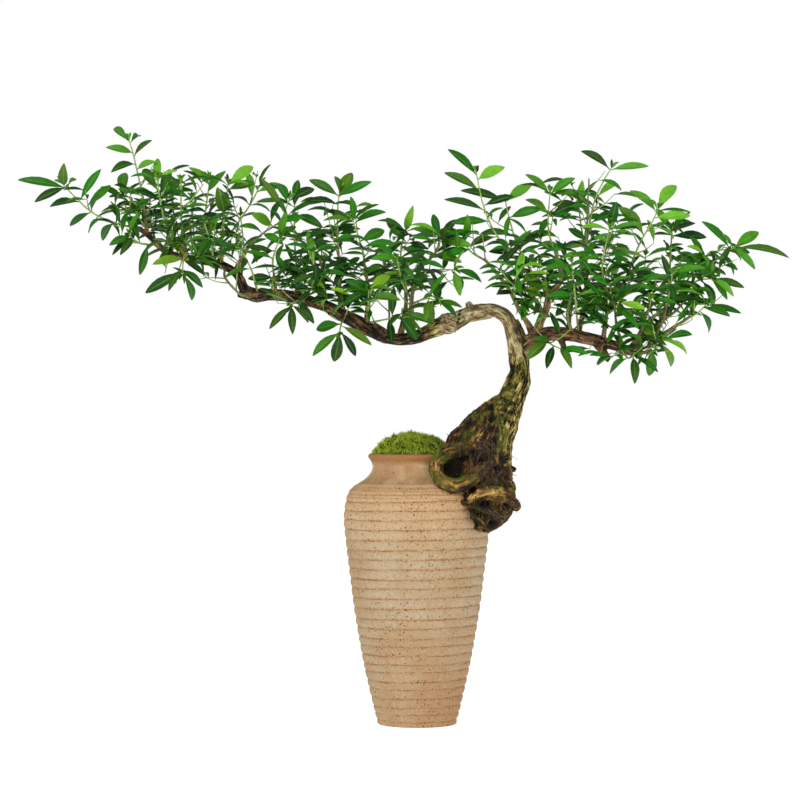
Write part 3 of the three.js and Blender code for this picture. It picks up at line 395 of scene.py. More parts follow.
RIGHT_CROWN = [
    (((60, 250), (45, 270), (39, 282), (36, 291), (33, 306)), (-7, -16), 0, [
        (17, 319, 6.5, 33, 305), (49, 309, 7, 34, 302), (15, 306, 6, 35, 296),
        (15, 291, 6, 38, 285), (54, 293, 5, 37, 288), (19, 278, 6, 40, 279), (30, 266, 5, 45, 270),
    ]),
    (((66, 246), (58, 261), (54, 271), (51, 282), (49, 291)), (-5, 10), 0, [
        (24, 296, 6, 49, 291), (64, 300, 7.5, 49, 290), (70, 286, 6, 51, 281),
        (35, 272, 5, 54, 271), (72, 271, 5, 56, 266), (40, 262, 5, 58, 261),
    ]),
    (((77, 258), (73, 275), (74, 295)), (-5, -6), 1, [
        (60, 305, 6), (60, 291, 6), (88, 303, 6), (90, 289, 6, 73, 281),
    ]),
    (((94.5, 260), (91, 278), (90, 288)), (8, 25), 2, [(92, 302, 5), (75, 288, 6, 90, 286)]),
    (((95, 266), (98, 288), (103, 300), (108, 308.5)), (7, 10), 0, [
        (91, 318, 5.5, 108, 308), (129, 309.5, 5.5, 108, 308), (111, 300, 5, 99, 292),
        (82, 296, 5, 97, 286), (112, 283, 6, 96, 278), (84, 275, 5, 95, 268),
    ]),
    (((104, 242), (103, 255), (107, 275)), (-10, -30), 3, [(111, 290, 6)]),
    (((118, 250), (121, 260), (125, 269), (131, 279), (134, 286)), (-5, -7), 1, [
        (144, 299, 8), (118, 296, 6, 133, 284), (112, 287, 8, 126, 271), (152, 282, 6, 132, 281),
    ]),
    (((141, 247), (141, 260), (141.5, 274)), (8, 20), 1, [
        (133, 286, 5), (152, 284, 5), (161, 270, 6), (159, 257, 7),
    ]),
    (((148, 241), (156, 256), (165, 262), (177, 264)), (3, 4), 0, [
        (207, 258.5, 6, 177, 264), (188, 252, 5, 176, 264), (176, 249, 5, 166, 262),
        (165, 247, 7, 158, 258), (158, 279, 6, 174, 264), (190, 273, 7, 177, 264),
        (169, 272, 4, 176, 264), (150, 265, 5, 160, 259), (185, 261.5, 5, 170, 263),
    ]),
    (((147, 239), (156, 246), (164, 247)), (3, -18), 1, [
        (176, 237, 5), (182, 242, 5), (165, 232, 6.5), (153, 229, 5),
    ]),
    (((148, 224), (156, 228), (161, 233)), (-9, -16), 1, [
        (174, 226, 6), (162, 217, 6, 157, 229), (147, 237, 5),
    ]),
    (((126, 206), (132, 210), (137, 213)), (-10, -20), 0, [
        (150, 205, 5, 137, 213), (141, 198, 5, 135, 212), (129, 193, 7, 130, 209),
        (153, 216, 5, 137, 213), (124, 222, 5, 134, 211),
    ]),
    (((113, 207), (117, 203), (121, 204)), (-6, -20), 0, [
        (121, 188.5, 5.5, 120, 204), (107, 194, 7, 117, 203), (134, 195, 5, 121, 204),
    ]),
    (((71, 215), (74, 211), (80, 208)), (0, -20), 0, [
        (61, 202, 7, 73, 212), (72, 197, 5, 76, 210), (86, 197, 5, 79, 208), (95, 205, 5, 80, 208),
        (64, 213, 5, 74, 211),
    ]),
    (((105, 228), (109, 230), (113, 234)), (-6, -30), 2, [(127, 230, 5, 113, 234), (101, 236, 5)]),
    (((38, 257), (30, 262), (26, 268)), (-6, -10), 2, [(12, 273, 5.5), (28, 283, 5), (14, 259, 5)]),
    (((86, 230), (84, 246), (82, 264)), (5, 44), 3, []),
    (((126, 214), (126, 238), (127, 260)), (-3, 44), 3, []),
    (((90, 216), (88, 236), (86, 256)), (0, -42), 3, []),
    (((136, 224), (140, 238), (142, 250)), (0, -38), 3, []),
    (((56, 232), (54, 240), (56, 252)), (-6, -38), 3, []),
    (((104, 226), (110, 244), (112, 262)), (-5, 24), 3, []),
]

# The number of the one twig that is bare and green.
BARE_TWIG = 5

# Wood that fills out the skin: in the fork, under the arch and round the right limb.
FILLS = [
    [(54, 1, 224, 2.4), (56.5, 1.5, 217, 3.6), (58, 1, 208, 4)],
    [(26, -4, 225, 3), (31, -4, 226, 3), (36, -4, 226.8, 2.9), (41, -4, 227.6, 2.6)],
    [
        (64, -1, 213.5, 4), (72, -1, 216.2, 4.3), (80, -1, 216.6, 4), (90, -1, 215, 3.7),
        (101, -3, 212.4, 3.5),
    ],
    [(100, -3, 212, 2.4), (104, -4, 206.5, 1.6), (106.5, -5, 202, 1.1)],
]
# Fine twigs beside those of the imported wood.
FINE_TWIGS = [
    [(112, -6, 205, 1.2), (121, -8, 206.5, 0.9), (131, -10, 211, 0.8), (143, -11, 219, 0.6)],
    [(121, -5, 209, 1), (124, -9, 218, 0.8), (126, -10, 227, 0.7), (130, -11, 232, 0.5)],
    [(115, -5, 208, 1), (111, -9, 218, 0.8), (109, -11, 230, 0.6)],
    [(128, -6, 210, 0.9), (135, -10, 222, 0.8), (138, -11, 233, 0.6)],
    [(70, -4, 226, 1.1), (64, -9, 238, 0.9), (62, -11, 247, 0.6)],
    [(86, -2, 217, 1.1), (83, -8, 228, 0.9), (86, -10, 240, 0.7)],
    [(133, -4, 221, 0.9), (144, -8, 230, 0.7), (152, -9, 240, 0.5)],
    [(-118, 1, 257, 1.1), (-124, -7, 266, 0.8), (-126, -8, 280, 0.6)],
    [(-56, 3, 234, 1.1), (-52, -6, 246, 0.8), (-54, -8, 258, 0.6)],
]
# Roots that the solids leave out as too thin. The first is the dark tangle behind the loop root, the last
# lies level across the front.
FINE_ROOTS = [
    [(27, -17, 153, 6), (22, -19, 145, 7.5), (24, -22, 137, 6)],
    [(44, -14, 174, 2.2), (36, -20, 170, 2), (28, -24, 166, 2.2), (20, -26, 160, 2)],
    [(50, -20, 160, 1.6), (44, -26, 154, 1.5), (38, -30, 150, 1.4), (32, -31, 148, 1.2)],
    [(26, -28, 128, 1.4), (30, -33, 118, 1.5), (36, -34, 112, 1.6), (42, -30, 110, 1.4)],
    [(36, -35, 133, 1.3), (43, -35, 136, 1.4), (50, -30, 135, 1.5), (53, -24, 131, 1.3)],
    [
        (24, -30, 124, 1.2), (31, -34.5, 122, 1.4), (40, -35, 119, 1.4), (48, -31, 118, 1.5),
        (53, -24, 122, 1.2),
    ],
    [
        (28, -33, 125, 1.5), (31.5, -36, 128.5, 1.9), (37, -38, 130.5, 2.2), (44, -37, 130.5, 2.2),
        (50, -32, 128, 1.8),
    ],
]

# The upper and lower edge of the foliage in the front view, x and z, between which it is filled out.
SKYLINE = [
    (-176, 298), (-165, 303), (-144, 310), (-122, 310), (-104, 306), (-87, 306), (-72, 296),
    (-59, 296), (-41, 302), (-26, 299), (-17, 288), (-4, 284), (13, 277), (28, 275), (41, 291),
    (50, 299), (63, 303), (79, 302), (94, 298), (109, 299), (124, 292), (139, 294), (152, 282),
    (168, 271), (183, 263),
]
BASELINE = [
    (-204, 288), (-193, 279), (-174, 269), (-152, 253), (-137, 249), (-115, 250), (-97, 245),
    (-78, 235), (-59, 229), (-40, 224), (-22, 223), (-4, 218), (14, 230), (33, 245), (46, 237),
    (57, 219), (79, 206), (102, 198), (128, 195), (142, 209), (167, 226), (183, 255),
]

# Places of the front view that stay open between the leaves: x, z and reach.
CLEARINGS = [
    (-101, 252, 7), (-93, 255, 8), (-86, 259, 7), (-108, 244, 5), (145, 209, 6), (-4, 231, 5),
    (176, 234, 8), (-146, 239, 6), (186, 259, 5), (-26, 269, 5), (36, 270, 5), (-46, 279, 4),
    (-15, 280, 5), (5, 281, 6), (27, 281, 6), (94, 279, 5), (136, 281, 5), (-121, 290, 5), (-34, 291, 4),
    (-116, 301, 4), (-96, 300, 4), (-46, 300, 5), (25, 301, 6), (-84, 251, 6), (-90, 262, 9),
    (-86, 275, 9), (-93, 284, 6), (-120, 296, 6), (-146, 299, 6), (-12, 231, 9), (-2, 232, 7),
    (131, 263, 6), (84, 272, 6), (36, 272, 6), (6, 279, 8), (22, 282, 8), (-66, 279, 6), (-40, 299, 6),
    (106, 293, 6), (142, 222, 6), (-86, 312, 7), (-97, 294, 5), (20, 240, 5), (-40, 262, 4), (64, 215, 5),
    (70, 215, 5), (76, 214, 5), (82, 213, 5), (88, 212, 5), (94, 211, 5), (100, 209, 5), (62, 222, 4),
    (150, 218, 8), (168, 226, 6), (178, 244, 6), (188, 262, 6), (-146, 244, 7), (-185, 281, 6),
    (-178, 293, 5), (24, 254, 6), (26, 264, 6), (168, 274, 5), (158, 276, 5), (26, 304, 6), (36, 296, 5),
    (137, 254, 5), (96, 284, 5), (45, 276, 4), (-25, 274, 4), (-95, 252, 5), (-56, 284, 4), (107, 207, 4),
    (45, 226, 5), (52, 222, 5), (-2, 208, 6), (-12, 210, 5), (8, 216, 5), (-60, 226, 5), (-75, 236, 4),
    (-92, 238, 5), (110, 222, 3.5), (84, 225, 4), (128, 216, 4), (70, 232, 4), (118, 232, 4),
]
# Short shoots that fill thin places, each with its far end at x, z and y.
SHOOT_ENDS = [
    (55, 227, -10), (59, 233, -12), (63, 227, -9), (66, 234, -10), (61, 240, -6), (53, 236, -8),
    (57, 244, 4), (96, 208, -14), (102, 206, -16), (98, 222, -9), (104, 224, -12), (110, 218, -14),
    (108, 203, -14), (92, 224, 4), (-46, 243, -9), (-43, 236, -12), (-52, 291, 2), (-47, 288, 8),
    (172, 262, -5), (178, 258, 3), (168, 252, -4), (-125, 246, -16), (-118, 252, -20), (-140, 250, -14),
    (-134, 244, -24), (-108, 250, -16), (-60, 246, -12), (-68, 240, -14), (76, 224, -8), (84, 228, -10),
    (118, 226, -12), (124, 214, -16),
]

# Where moss, dark hollows and bare tan wood show on the front of the wood: x, z and reach. The hollows are
# painted near black, as painted shade.
MOSS_SPOTS = [
    (45.5, 176, 4.5), (45.5, 170, 4.5), (46, 163, 4), (45.5, 157, 3.5), (7, 146, 3.5), (7.5, 139, 3.5),
    (11, 134, 3), (17, 131.5, 2.5), (32, 140, 2.5), (28, 137, 2.5), (37, 143, 2.5), (5, 143, 2.5),
    (46.5, 170, 4.5), (46, 162, 4), (44.5, 154, 3.5), (33, 170, 4), (24, 161, 3.5), (15, 148, 3),
    (24, 138, 3), (44, 134, 3), (53, 132, 3), (38, 174, 3), (50, 180, 3), (27, 224, 4), (52, 188, 3.5),
    (12, 137, 3), (18, 133, 2.5), (55, 196, 3), (58, 201, 3),
]
HOLLOWS = [
    (20, 143, 5.5), (24, 149, 4), (40, 176, 2.4), (41, 170, 2.6), (36, 147, 4), (31, 151, 3),
    (56.5, 219, 2.6), (58, 213, 2), (51, 197, 4), (50, 193.5, 2.6), (30, 131, 2.5), (48, 122, 2.5),
    (41.5, 164, 2.6), (42, 158, 3), (40, 152, 3.5), (44, 141, 4), (36, 123, 3.5), (31, 113, 3),
    (41, 112, 3), (23.4, 227, 1.2), (23, 224.6, 1.2), (22.6, 222.4, 1.1), (23.8, 229, 1.1), (47, 147, 3),
]
TAN_STRIPS = [
    [(48, 147, 3.5), (49.5, 154, 4.5), (50.5, 163, 4.5), (52.5, 170, 3.6)], [(44.5, 174, 3), (46, 177, 2)],
    [(31, 157, 3.5), (35, 160, 2)],
    [(10, 142, 2.6), (13, 136, 3), (19, 133.5, 3), (25, 136, 3)], [(41, 187, 1.8), (46, 190, 2.2)],
]
# Fields of hanging fine roots: x from and to, z from and to, and how many.
HAIR_FIELDS = [(32, 42, 149, 160, 50), (34, 47, 138, 147, 80), (30, 50, 120, 128, 30), (12, 30, 154, 163, 14)]
# Fine roots that show one by one, as x and z in the front view.
STRANDS = [
    [(44.5, 172), (43.6, 167), (41.6, 162), (40, 158)], [(56, 127), (58, 123), (59, 119)],
    [(19, 158), (17, 160.5), (16.4, 161)], [(46, 147), (51, 149), (55, 147)],
]
# Where the front view shows young lime or yellow leaves: x, z, reach and strength.
LIME_PLACES = [
    (-137, 268, 12, 0.35), (-147, 255, 7, 0.4), (-9, 235, 8, 0.3), (-15, 249, 8, 0.6), (61, 202, 8, 0.25),
    (7, 221, 8, 0.15), (69, 243, 6, 1.8), (76, 246, 6, 1.8), (129, 232, 5, 0.9), (112, 233, 8, 0.5),
    (10, 222, 6, 0.15), (-48, 241, 6, 0.9), (-87, 303, 8, 0.15), (141, 198, 8, 0.2),
]


# Numbers and noise


def draw(first, second):
    """A number from 0 to 1 that is always the same for the same two whole numbers: what is left after the
    point of a large sine of both."""
    wave = math.sin(first * SCATTER_RATES[0] + second * SCATTER_RATES[1]) * SCATTER_SIZE
    return wave - math.floor(wave)


def noise(places, size, seed=0):
    """Smooth noise from -1 to 1. The cells are size wide (one number, or one for each axis). Each cell
    corner holds what is left after the point of a large sine of its place, and smoothstep blends the eight
    corners."""
    scaled = np.asarray(places, float) / size
    cell = np.floor(scaled)
    share = scaled - cell
    share = share * share * (3 - 2 * share)
    total = 0
    for corner in np.ndindex(2, 2, 2):
        weight = np.where(np.array(corner, bool), share, 1 - share).prod(axis=-1)
        wave = np.sin((cell + corner) @ SCATTER_RATES + seed * SEED_STEP) * SCATTER_SIZE
        total = total + weight * (wave - np.floor(wave))
    return 2 * total - 1


def ramp(value, low, high):
    """0 below low, 1 above high and smoothstep between them. With low above high it falls instead."""
    share = np.clip((value - low) / (high - low), 0, 1)
    return share * share * (3 - 2 * share)


def unit(vectors):
    """The same directions with length 1."""
    return vectors / np.maximum(np.linalg.norm(vectors, axis=-1, keepdims=True), 1e-9)


def smooth_line(stations, step):
    """A Catmull-Rom curve through the stations, with an even number of points about step apart. Any further
    columns, such as a radius, are carried along."""
    stations = np.asarray(stations, float)
    padded = np.vstack([2 * stations[0] - stations[1], stations, 2 * stations[-1] - stations[-2]])
    pieces = []
    for before, start, end, after in zip(padded, padded[1:], padded[2:], padded[3:]):
        count = max(2, int(np.linalg.norm((end - start)[:3]) / step))
        t = np.linspace(0, 1, count, endpoint=False)[:, None]
        bend = (2 * before - 5 * start + 4 * end - after) * t ** 2
        bend += (3 * start - before - 3 * end + after) * t ** 3
        pieces.append(start + 0.5 * ((end - before) * t + bend))
    return np.vstack([*pieces, stations[-1:]])


def resampled(curve, count):
    """A curve read at count places, spread evenly over the list of its points."""
    at = np.linspace(0, len(curve) - 1, count)
    return np.stack([np.interp(at, np.arange(len(curve)), column) for column in curve.T], 1)


# Meshes


def joined(shapes):
    """Several shapes as one. A shape is a dict of corners, faces (a list of arrays of corner numbers) and any
    values that go with each corner."""
    shapes = [shape for shape in shapes if len(shape["corners"])]
    starts = np.cumsum([0] + [len(shape["corners"]) for shape in shapes])
    faces = [array + start for shape, start in zip(shapes, starts) for array in shape["faces"]]
    kept = [key for key in shapes[0] if key != "faces"]
    whole = {key: np.concatenate([shape[key] for shape in shapes]) for key in kept}
    return {**whole, "faces": faces}


def piece(name, shape, finishes, replaced, finish_of_face=None):
    """A mesh object of a shape. Every value of the shape beside corners and faces becomes an attribute, and
    uv becomes its UV map. It rides on the tree's one body and stands for the replaced nodes. Where replaced
    is None, it is only cut or merged into another piece, or stands on the stage."""
    mesh = bpy.data.meshes.new(name)
    mesh.from_pydata(shape["corners"] * MM, [], [face for array in shape["faces"] for face in array.tolist()])
    for key, values in shape.items():
        if key not in ("corners", "faces", "uv"):
            kind, field = ("FLOAT_VECTOR", "vector") if values.ndim == 2 else ("FLOAT", "value")
            mesh.attributes.new(key, kind, "POINT").data.foreach_set(field, values.astype(np.float32).ravel())
    if "uv" in shape:
        corner = np.empty(len(mesh.loops), int)
        mesh.loops.foreach_get("vertex_index", corner)
        places = shape["uv"][corner].astype(np.float32).ravel()
        mesh.uv_layers.new(name="blade").uv.foreach_set("vector", places)
    for finish in finishes:
        mesh.materials.append(finish)
    if finish_of_face is not None:
        mesh.polygons.foreach_set("material_index", finish_of_face)
    mesh.polygons.foreach_set("use_smooth", np.ones(len(mesh.polygons), bool))
    mesh.validate()
    if "uv" in shape:
        mesh.set_sharp_from_angle(angle=RIM_ANGLE)
    made = bpy.data.objects.new(name, mesh)
    bpy.context.scene.collection.objects.link(made)
    if replaced is not None:
        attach(made, "root")
        if replaced:
            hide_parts(*replaced)
    return made


def applied(made, *modifiers):
    """The corners, normals and faces of an object after the modifiers, each a kind and its settings. The
    object is deleted."""
    for kind, settings in modifiers:
        modifier = made.modifiers.new(kind, kind)
        for key, value in settings.items():
            setattr(modifier, key, value)
    result = bpy.data.meshes.new_from_object(made.evaluated_get(bpy.context.evaluated_depsgraph_get()))
    corners = np.empty((len(result.vertices), 3))
    normals = np.empty((len(result.vertices), 3))
    result.vertices.foreach_get("co", corners.ravel())
    result.vertex_normals.foreach_get("vector", normals.ravel())
    faces = [np.array([tuple(face.vertices)]) for face in result.polygons if len(face.vertices) > 4]
    sizes = np.empty(len(result.polygons), int)
    loops = np.empty(len(result.loops), int)
    starts = np.empty(len(result.polygons), int)
    result.polygons.foreach_get("loop_total", sizes)
    result.polygons.foreach_get("loop_start", starts)
    result.loops.foreach_get("vertex_index", loops)
    for size in (3, 4):
        faces.append(loops[starts[sizes == size][:, None] + np.arange(size)])
    bpy.data.objects.remove(made)
    return {"corners": corners / MM, "faces": faces}, normals


def swept(lines, radii, sides):
    """Round rods along many lines of the same number of points. A rod's corner is its line's point plus the
    radius times (cosine of the angle times normal + sine times across), and both ends are closed."""
    lines, radii = np.asarray(lines, float), np.asarray(radii, float)
    rods, rings = radii.shape
    heading = unit(np.gradient(lines, axis=1))
    normal = unit(np.cross(heading, CROSSWISE))
    across = np.cross(heading, normal)
    angle = np.linspace(0, 2 * math.pi, sides, endpoint=False)[:, None]
    round_way = np.cos(angle) * normal[:, :, None] + np.sin(angle) * across[:, :, None]
    corners = lines[:, :, None] + radii[:, :, None, None] * round_way
    rod, ring, side = np.ogrid[:rods, :rings - 1, :sides]
    first = (rod * rings + ring) * sides
    here, beside = first + side, first + (side + 1) % sides
    walls = np.stack([here, beside, beside + sides, here + sides], -1).reshape(-1, 4)
    start = np.arange(rods)[:, None] * rings * sides
    foot = start + np.arange(sides)[::-1]
    head = start + (rings - 1) * sides + np.arange(sides)
    return {"corners": corners.reshape(-1, 3), "faces": [walls, foot, head]}


# Places on limbs and stems


def seen(x, z, y):
    """A place read in the front view, moved along the line of sight to depth y: its distance from the eye's
    axis grows by 1 + y / EYE_DISTANCE."""
    reach = 1 + y / EYE_DISTANCE
    return np.array((EYE_X + (x - EYE_X) * reach, y, EYE_Z + (z - EYE_Z) * reach))


def nearest_wood(point):
    """The nearest place to a point on the middle lines of the limbs and twigs: on each straight part, the
    foot of the perpendicular kept between its ends."""
    starts = np.vstack([np.array(limb)[:-1, :3] for limb in (TRUNK, RIGHT_LIMB, *TWIGS)])
    ends = np.vstack([np.array(limb)[1:, :3] for limb in (TRUNK, RIGHT_LIMB, *TWIGS)])
    run = ends - starts
    share = np.clip(((point - starts) * run).sum(1) / (run * run).sum(1), 0, 1)
    feet = starts + share[:, None] * run
    return feet[np.argmin(np.linalg.norm(feet - point, axis=1))]


def stem_line(stem, depth):
    """The middle line of a spray's stem, from inside the wood that carries it. Its depth runs evenly from
    root to tip. A first point that is near to the wood is left out."""
    points = [seen(x, z, y) for (x, z), y in zip(stem, np.linspace(*depth, len(stem)))]
    root = nearest_wood(points[0])
    if np.linalg.norm(root - points[0]) < NEAR_WOOD:
        points = points[1:]
    return np.array([root, *points])


def along(points, share):
    """The place and direction a share of the way along a line, for one share or many."""
    lengths = np.linalg.norm(np.diff(points, axis=0), axis=1)
    ends = np.concatenate([[0], np.cumsum(lengths)])
    reached = np.asarray(share) * ends[-1]
    part = np.clip(np.searchsorted(ends, reached, side="left") - 1, 0, len(lengths) - 1)
    heading = unit(points[part + 1] - points[part])
    return points[part] + heading * (reached - ends[part])[..., None], heading


def base_on(points, x, z, wanted=0):
    """The point of a line whose distance from x and z in the front view is nearest to the wanted one. Where
    one is wanted, the lowest fifth of the line is left out."""
    first = BASE_STEPS // 5 if wanted else 0
    here, _ = along(points, LAST_NODE * np.arange(first, BASE_STEPS + 1) / BASE_STEPS)
    there = np.array([seen(x, z, y) for y in here[:, 1]])
    miss = np.abs(np.linalg.norm(here - there, axis=1) - wanted)
    return here[np.argmin(miss)]


def turned_about(vector, axis, angle):
    """A vector turned about an axis, by Rodrigues' rule."""
    turned = vector * math.cos(angle) + np.cross(axis, vector) * math.sin(angle)
    return turned + axis * np.dot(axis, vector) * (1 - math.cos(angle))


def sideways(heading, angle):
    """A direction square to a heading: at angle 0 it is level, and it turns about the heading by the
    angle."""
    return turned_about(unit(np.cross((0, 1, 0), heading)), heading, angle)


def traced_leaf(points, leaf, key, turn):
    """A leaf whose tip the front view gives as x, z and width, and for some also where its base lies. What it
    lacks there of its length it has in depth, forward or back by a draw, and less of it after a turn."""
    x, z, width = leaf[:3]
    base = base_on(points, *leaf[3:]) if len(leaf) > 3 else base_on(points, x, z, SHOWN_SHARE * LEAF_LENGTH)
    flat = np.linalg.norm(seen(x, z, base[1]) - base)
    length = LEAF_LENGTH * (0.9 + 0.25 * draw(key, TRACED_LENGTH))
    depth = math.sqrt(max(length ** 2 - flat ** 2, LEAST_DEPTH ** 2))
    sign = -1 if draw(key, TRACED_SIDE) < 0.5 else 1
    tip = seen(x, z, base[1] + sign * depth * math.cos(turn))
    roll = 0.5 * (draw(key, TRACED_ROLL) - 0.5)
    return {"base": base, "tip": tip, "width": TRACED_SLIM * width, "roll": roll, "facing": TRACED_FACING}


def paired_leaf(points, pairs, pair, side, key, turn, size=1.0):
    """A leaf of an opposite pair. Each pair stands a quarter turn from the one below it, give or take a draw,
    and the topmost pair leans closer to the stem."""
    node = FIRST_NODE + (1 - FIRST_NODE) * (pair + 1) / pairs
    place, heading = along(points, min(node, LAST_NODE))
    angle = pair * math.pi / 2 + side * math.pi + 0.8 * (draw(key, PAIR_TURN) - 0.5) + turn
    least, more = TOP_LEAN if pair == pairs - 1 else PAIR_LEAN
    lean = least + more * draw(key, PAIR_SPREAD)
    way = heading * math.cos(lean) + sideways(heading, angle) * math.sin(lean)
    way[2] = LEAF_LEVEL * way[2] - LEAF_DROOP * draw(key, PAIR_DROOP)
    length = size * LEAF_LENGTH * (0.8 + 0.3 * draw(key, PAIR_LENGTH))
    slim = PAIR_SLIM * (LEFT_PAD_SLIM if place[0] < LEFT_PAD_END else 1)
    width = slim * size * LEAF_WIDTH * (0.9 + 0.3 * draw(key, PAIR_WIDTH))
    roll = 0.9 * (draw(key, PAIR_ROLL) - 0.5)
    tip = place + unit(way) * length
    return {"base": place, "tip": tip, "width": width, "roll": roll, "facing": LEAF_FACING}


# Foliage


def blades(leaves):
    """Leaf blades, each of rows of six corners that close to a point at the base and at the tip. On a blade
    of length L the middle line rises by 4 arch curl L s (1 - s) at share s. The corners of a row lie at the
    columns' shares of the half width and at their lifts, both times the row's spread, and the sixth lies
    under the rib by the thickness."""
    base, tip, facing = (np.array([leaf[key] for leaf in leaves], float) for key in ("base", "tip", "facing"))
    keys = ("width", "roll", "curl")
    width, roll, curl = (np.array([leaf[key] for leaf in leaves])[:, None] for key in keys)
    run = tip - base
    length = np.linalg.norm(run, axis=1)[:, None]
    heading = run / length
    flat = unit(facing - heading * (heading * facing).sum(1)[:, None])
    face = flat * np.cos(roll) + np.cross(heading, flat) * np.sin(roll)
    side = np.cross(heading, face)
    share, column, lift, under = map(np.array, (LEAF_ROWS, LEAF_COLUMNS, LEAF_LIFTS, LEAF_UNDER))
    spread = np.array(LEAF_SPREAD)[:, None]
    arch = 4 * LEAF_ARCH * length * share * (1 - share) * curl
    rows = base[:, None] + heading[:, None] * (share * length)[..., None] + face[:, None] * arch[..., None]
    wide = side[:, None, None] * (width[..., None] / 2 * spread * column)[..., None]
    high = face[:, None, None] * (lift * spread - LEAF_SKIN * under)[..., None]
    body = (rows[:, :, None] + wide + high).reshape(len(leaves), -1, 3)
    corners = np.concatenate([base[:, None], body, tip[:, None]], 1)

    columns = len(column)
    ring = np.arange(columns)
    after = np.roll(ring, -1)
    first = 1 + columns * np.arange(len(share) - 1)[:, None]
    walls = np.stack([first + ring, first + after, first + after + columns, first + ring + columns], -1)
    last = 1 + columns * (len(share) - 1)
    point = last + columns
    near = np.stack([0 * ring, 1 + after, 1 + ring], -1)
    far = np.stack([last + ring, last + after, 0 * ring + point], -1)
    start = (np.arange(len(leaves)) * (point + 1))[:, None, None]
    faces = [(start + part).reshape(-1, part.shape[-1]) for part in (walls.reshape(-1, 4), near, far)]

    u = np.concatenate([[0], np.repeat(share, columns), [1]])
    v = np.concatenate([[0.5], np.tile((column + 1) / 2, len(share)), [0.5]])
    beneath = np.concatenate([[0], np.tile(under, len(share)), [0]])
    values = {key: np.repeat([leaf[key] for leaf in leaves], point + 1) for key in ("tone", "young")}
    return {"corners": corners.reshape(-1, 3), "faces": faces, "under": np.tile(beneath, len(leaves)),
            "uv": np.tile(np.stack([u, v], 1), (len(leaves), 1)), **values}


def coloured(leaf, key, fresh, painted_shade=1.0):
    """Adds a leaf's tone, its curl and how young it is. The tone is a draw times painted shade: low in a pad
    a leaf is painted darker, most of all on the left, and in the right crown it is painted a little lighter.
    It is young by its fresh share, by chance, and in the lime places near the front."""
    x, z = shown_at(leaf["tip"])
    young = 0.18 * fresh * draw(key, YOUNG_TIP) + 0.22 * draw(key, YOUNG_CHANCE) ** 3
    if leaf["tip"][1] < LIME_BACK:
        lime = (power * max(0, 1 - math.hypot(x - a, z - b) / reach) for a, b, reach, power in LIME_PLACES)
        young += max(lime)
    # Painted shade: leaves low in a pad are darkened, and those of the right crown are painted a little
    # lighter.
    foot = np.interp(x, *zip(*FOOT_PAINTED_LIGHT))
    rise = (z - np.interp(x, *zip(*BASELINE)) - FOOT_HEIGHT) / RISE_HEIGHT
    light = (foot + (1 - foot) * min(1, max(0, rise))) * np.interp(x, *zip(*CROWN_PAINTED_LIGHT))
    return {**leaf, "tone": painted_shade * light * draw(key, TONE), "curl": 0.5 + 1.3 * draw(key, CURL),
            "young": min(MOST_YOUNG, young)}


def shown_at(point):
    """The x and z at which a point shows in the front view: its distance from the eye's axis shrinks by
    1 + y / EYE_DISTANCE."""
    reach = 1 + point[1] / EYE_DISTANCE
    return EYE_X + (point[0] - EYE_X) / reach, EYE_Z + (point[2] - EYE_Z) / reach


def inside(leaf):
    """Whether a leaf keeps within the depth of the tree, its tip shows between the lower and the upper edge
    of the foliage, and neither its tip nor its middle shows in a clearing."""
    x, z = shown_at(leaf["tip"])
    shown = [(x, z), shown_at((leaf["base"] + leaf["tip"]) / 2)]
    if any(math.hypot(a - u, b - v) <= reach for a, b, reach in CLEARINGS for u, v in shown):
        return False
    low, high = (np.interp(x, *zip(*edge)) for edge in (BASELINE, SKYLINE))
    return BASELINE[0][0] < x < BASELINE[-1][0] and low < z < high and FRONT_MOST < leaf["tip"][1] < BACK_MOST


def side_shoot(points, share, key):
    """A short shoot from a line, with its small leaves: it leaves at an angle and bends up."""
    place, heading = along(points, share)
    way = unit(heading * 0.7 + sideways(heading, 2 * math.pi * draw(key, SHOOT_TURN)) + (0, 0, 0.2))
    reach = 7 + 11 * draw(key, SHOOT_REACH)
    line = np.array([place, place + way * reach * 0.5, place + way * reach + (0, 0, 2)])
    return line, shoot_leaves(line, key, SIDE_SIZE)


def side_shoots(points, count, key, start, span):
    """Side shoots at drawn places of a line, one in each equal part of a span of it."""
    keys = range(key, key + count)
    shares = [start + span * (number + draw(own, SHOOT_PLACE)) / count for number, own in enumerate(keys)]
    return [side_shoot(points, share, own) for share, own in zip(shares, keys)]


def kept_shoots(shoots):
    """The lines of the shoots that bear any leaves, and all these leaves."""
    kept = [(line, leaves) for line, leaves in shoots if leaves]
    return [line for line, _ in kept], [leaf for _, leaves in kept for leaf in leaves]


def shoot_leaves(line, key, least):
    """The pairs of small leaves of a shoot that show where foliage belongs. Least is the smallest leaf's
    share of the usual size. In the left pad some are left out."""
    small = []
    for pair, side in np.ndindex(SHOOT_PAIRS, 2):
        own = key + 10 * pair + 5 * side
        leaf = paired_leaf(line, SHOOT_PAIRS, pair, side, own, 0, least + 0.3 * draw(own, SMALL_SIZE))
        if line[0][0] > LEFT_PAD_END or draw(own, LEFT_OUT) > LEFT_PAD_AIR:
            # Small inner leaves are darkened by painted shade.
            small.append(coloured(leaf, own, SMALL_FRESH, SMALL_PAINTED_SHADE))
    return [leaf for leaf in small if inside(leaf)]


def bud(points, key):
    """Four tiny leaves that stand in a tuft at the tip of a stem."""
    place, heading = along(points, 1.0)
    grown = []
    for number in range(4):
        own = key + number
        out = sideways(heading, 1.57 * number + draw(own, BUD_TURN))
        tip = place + unit(heading + 0.55 * out) * (3 + 3 * draw(own, BUD_LENGTH))
        leaf = {"base": place - 0.3 * heading, "tip": tip, "width": BUD_WIDTH, "roll": 0}
        grown.append(coloured({**leaf, "facing": LEAF_FACING}, own, BUD_FRESH))
    return grown


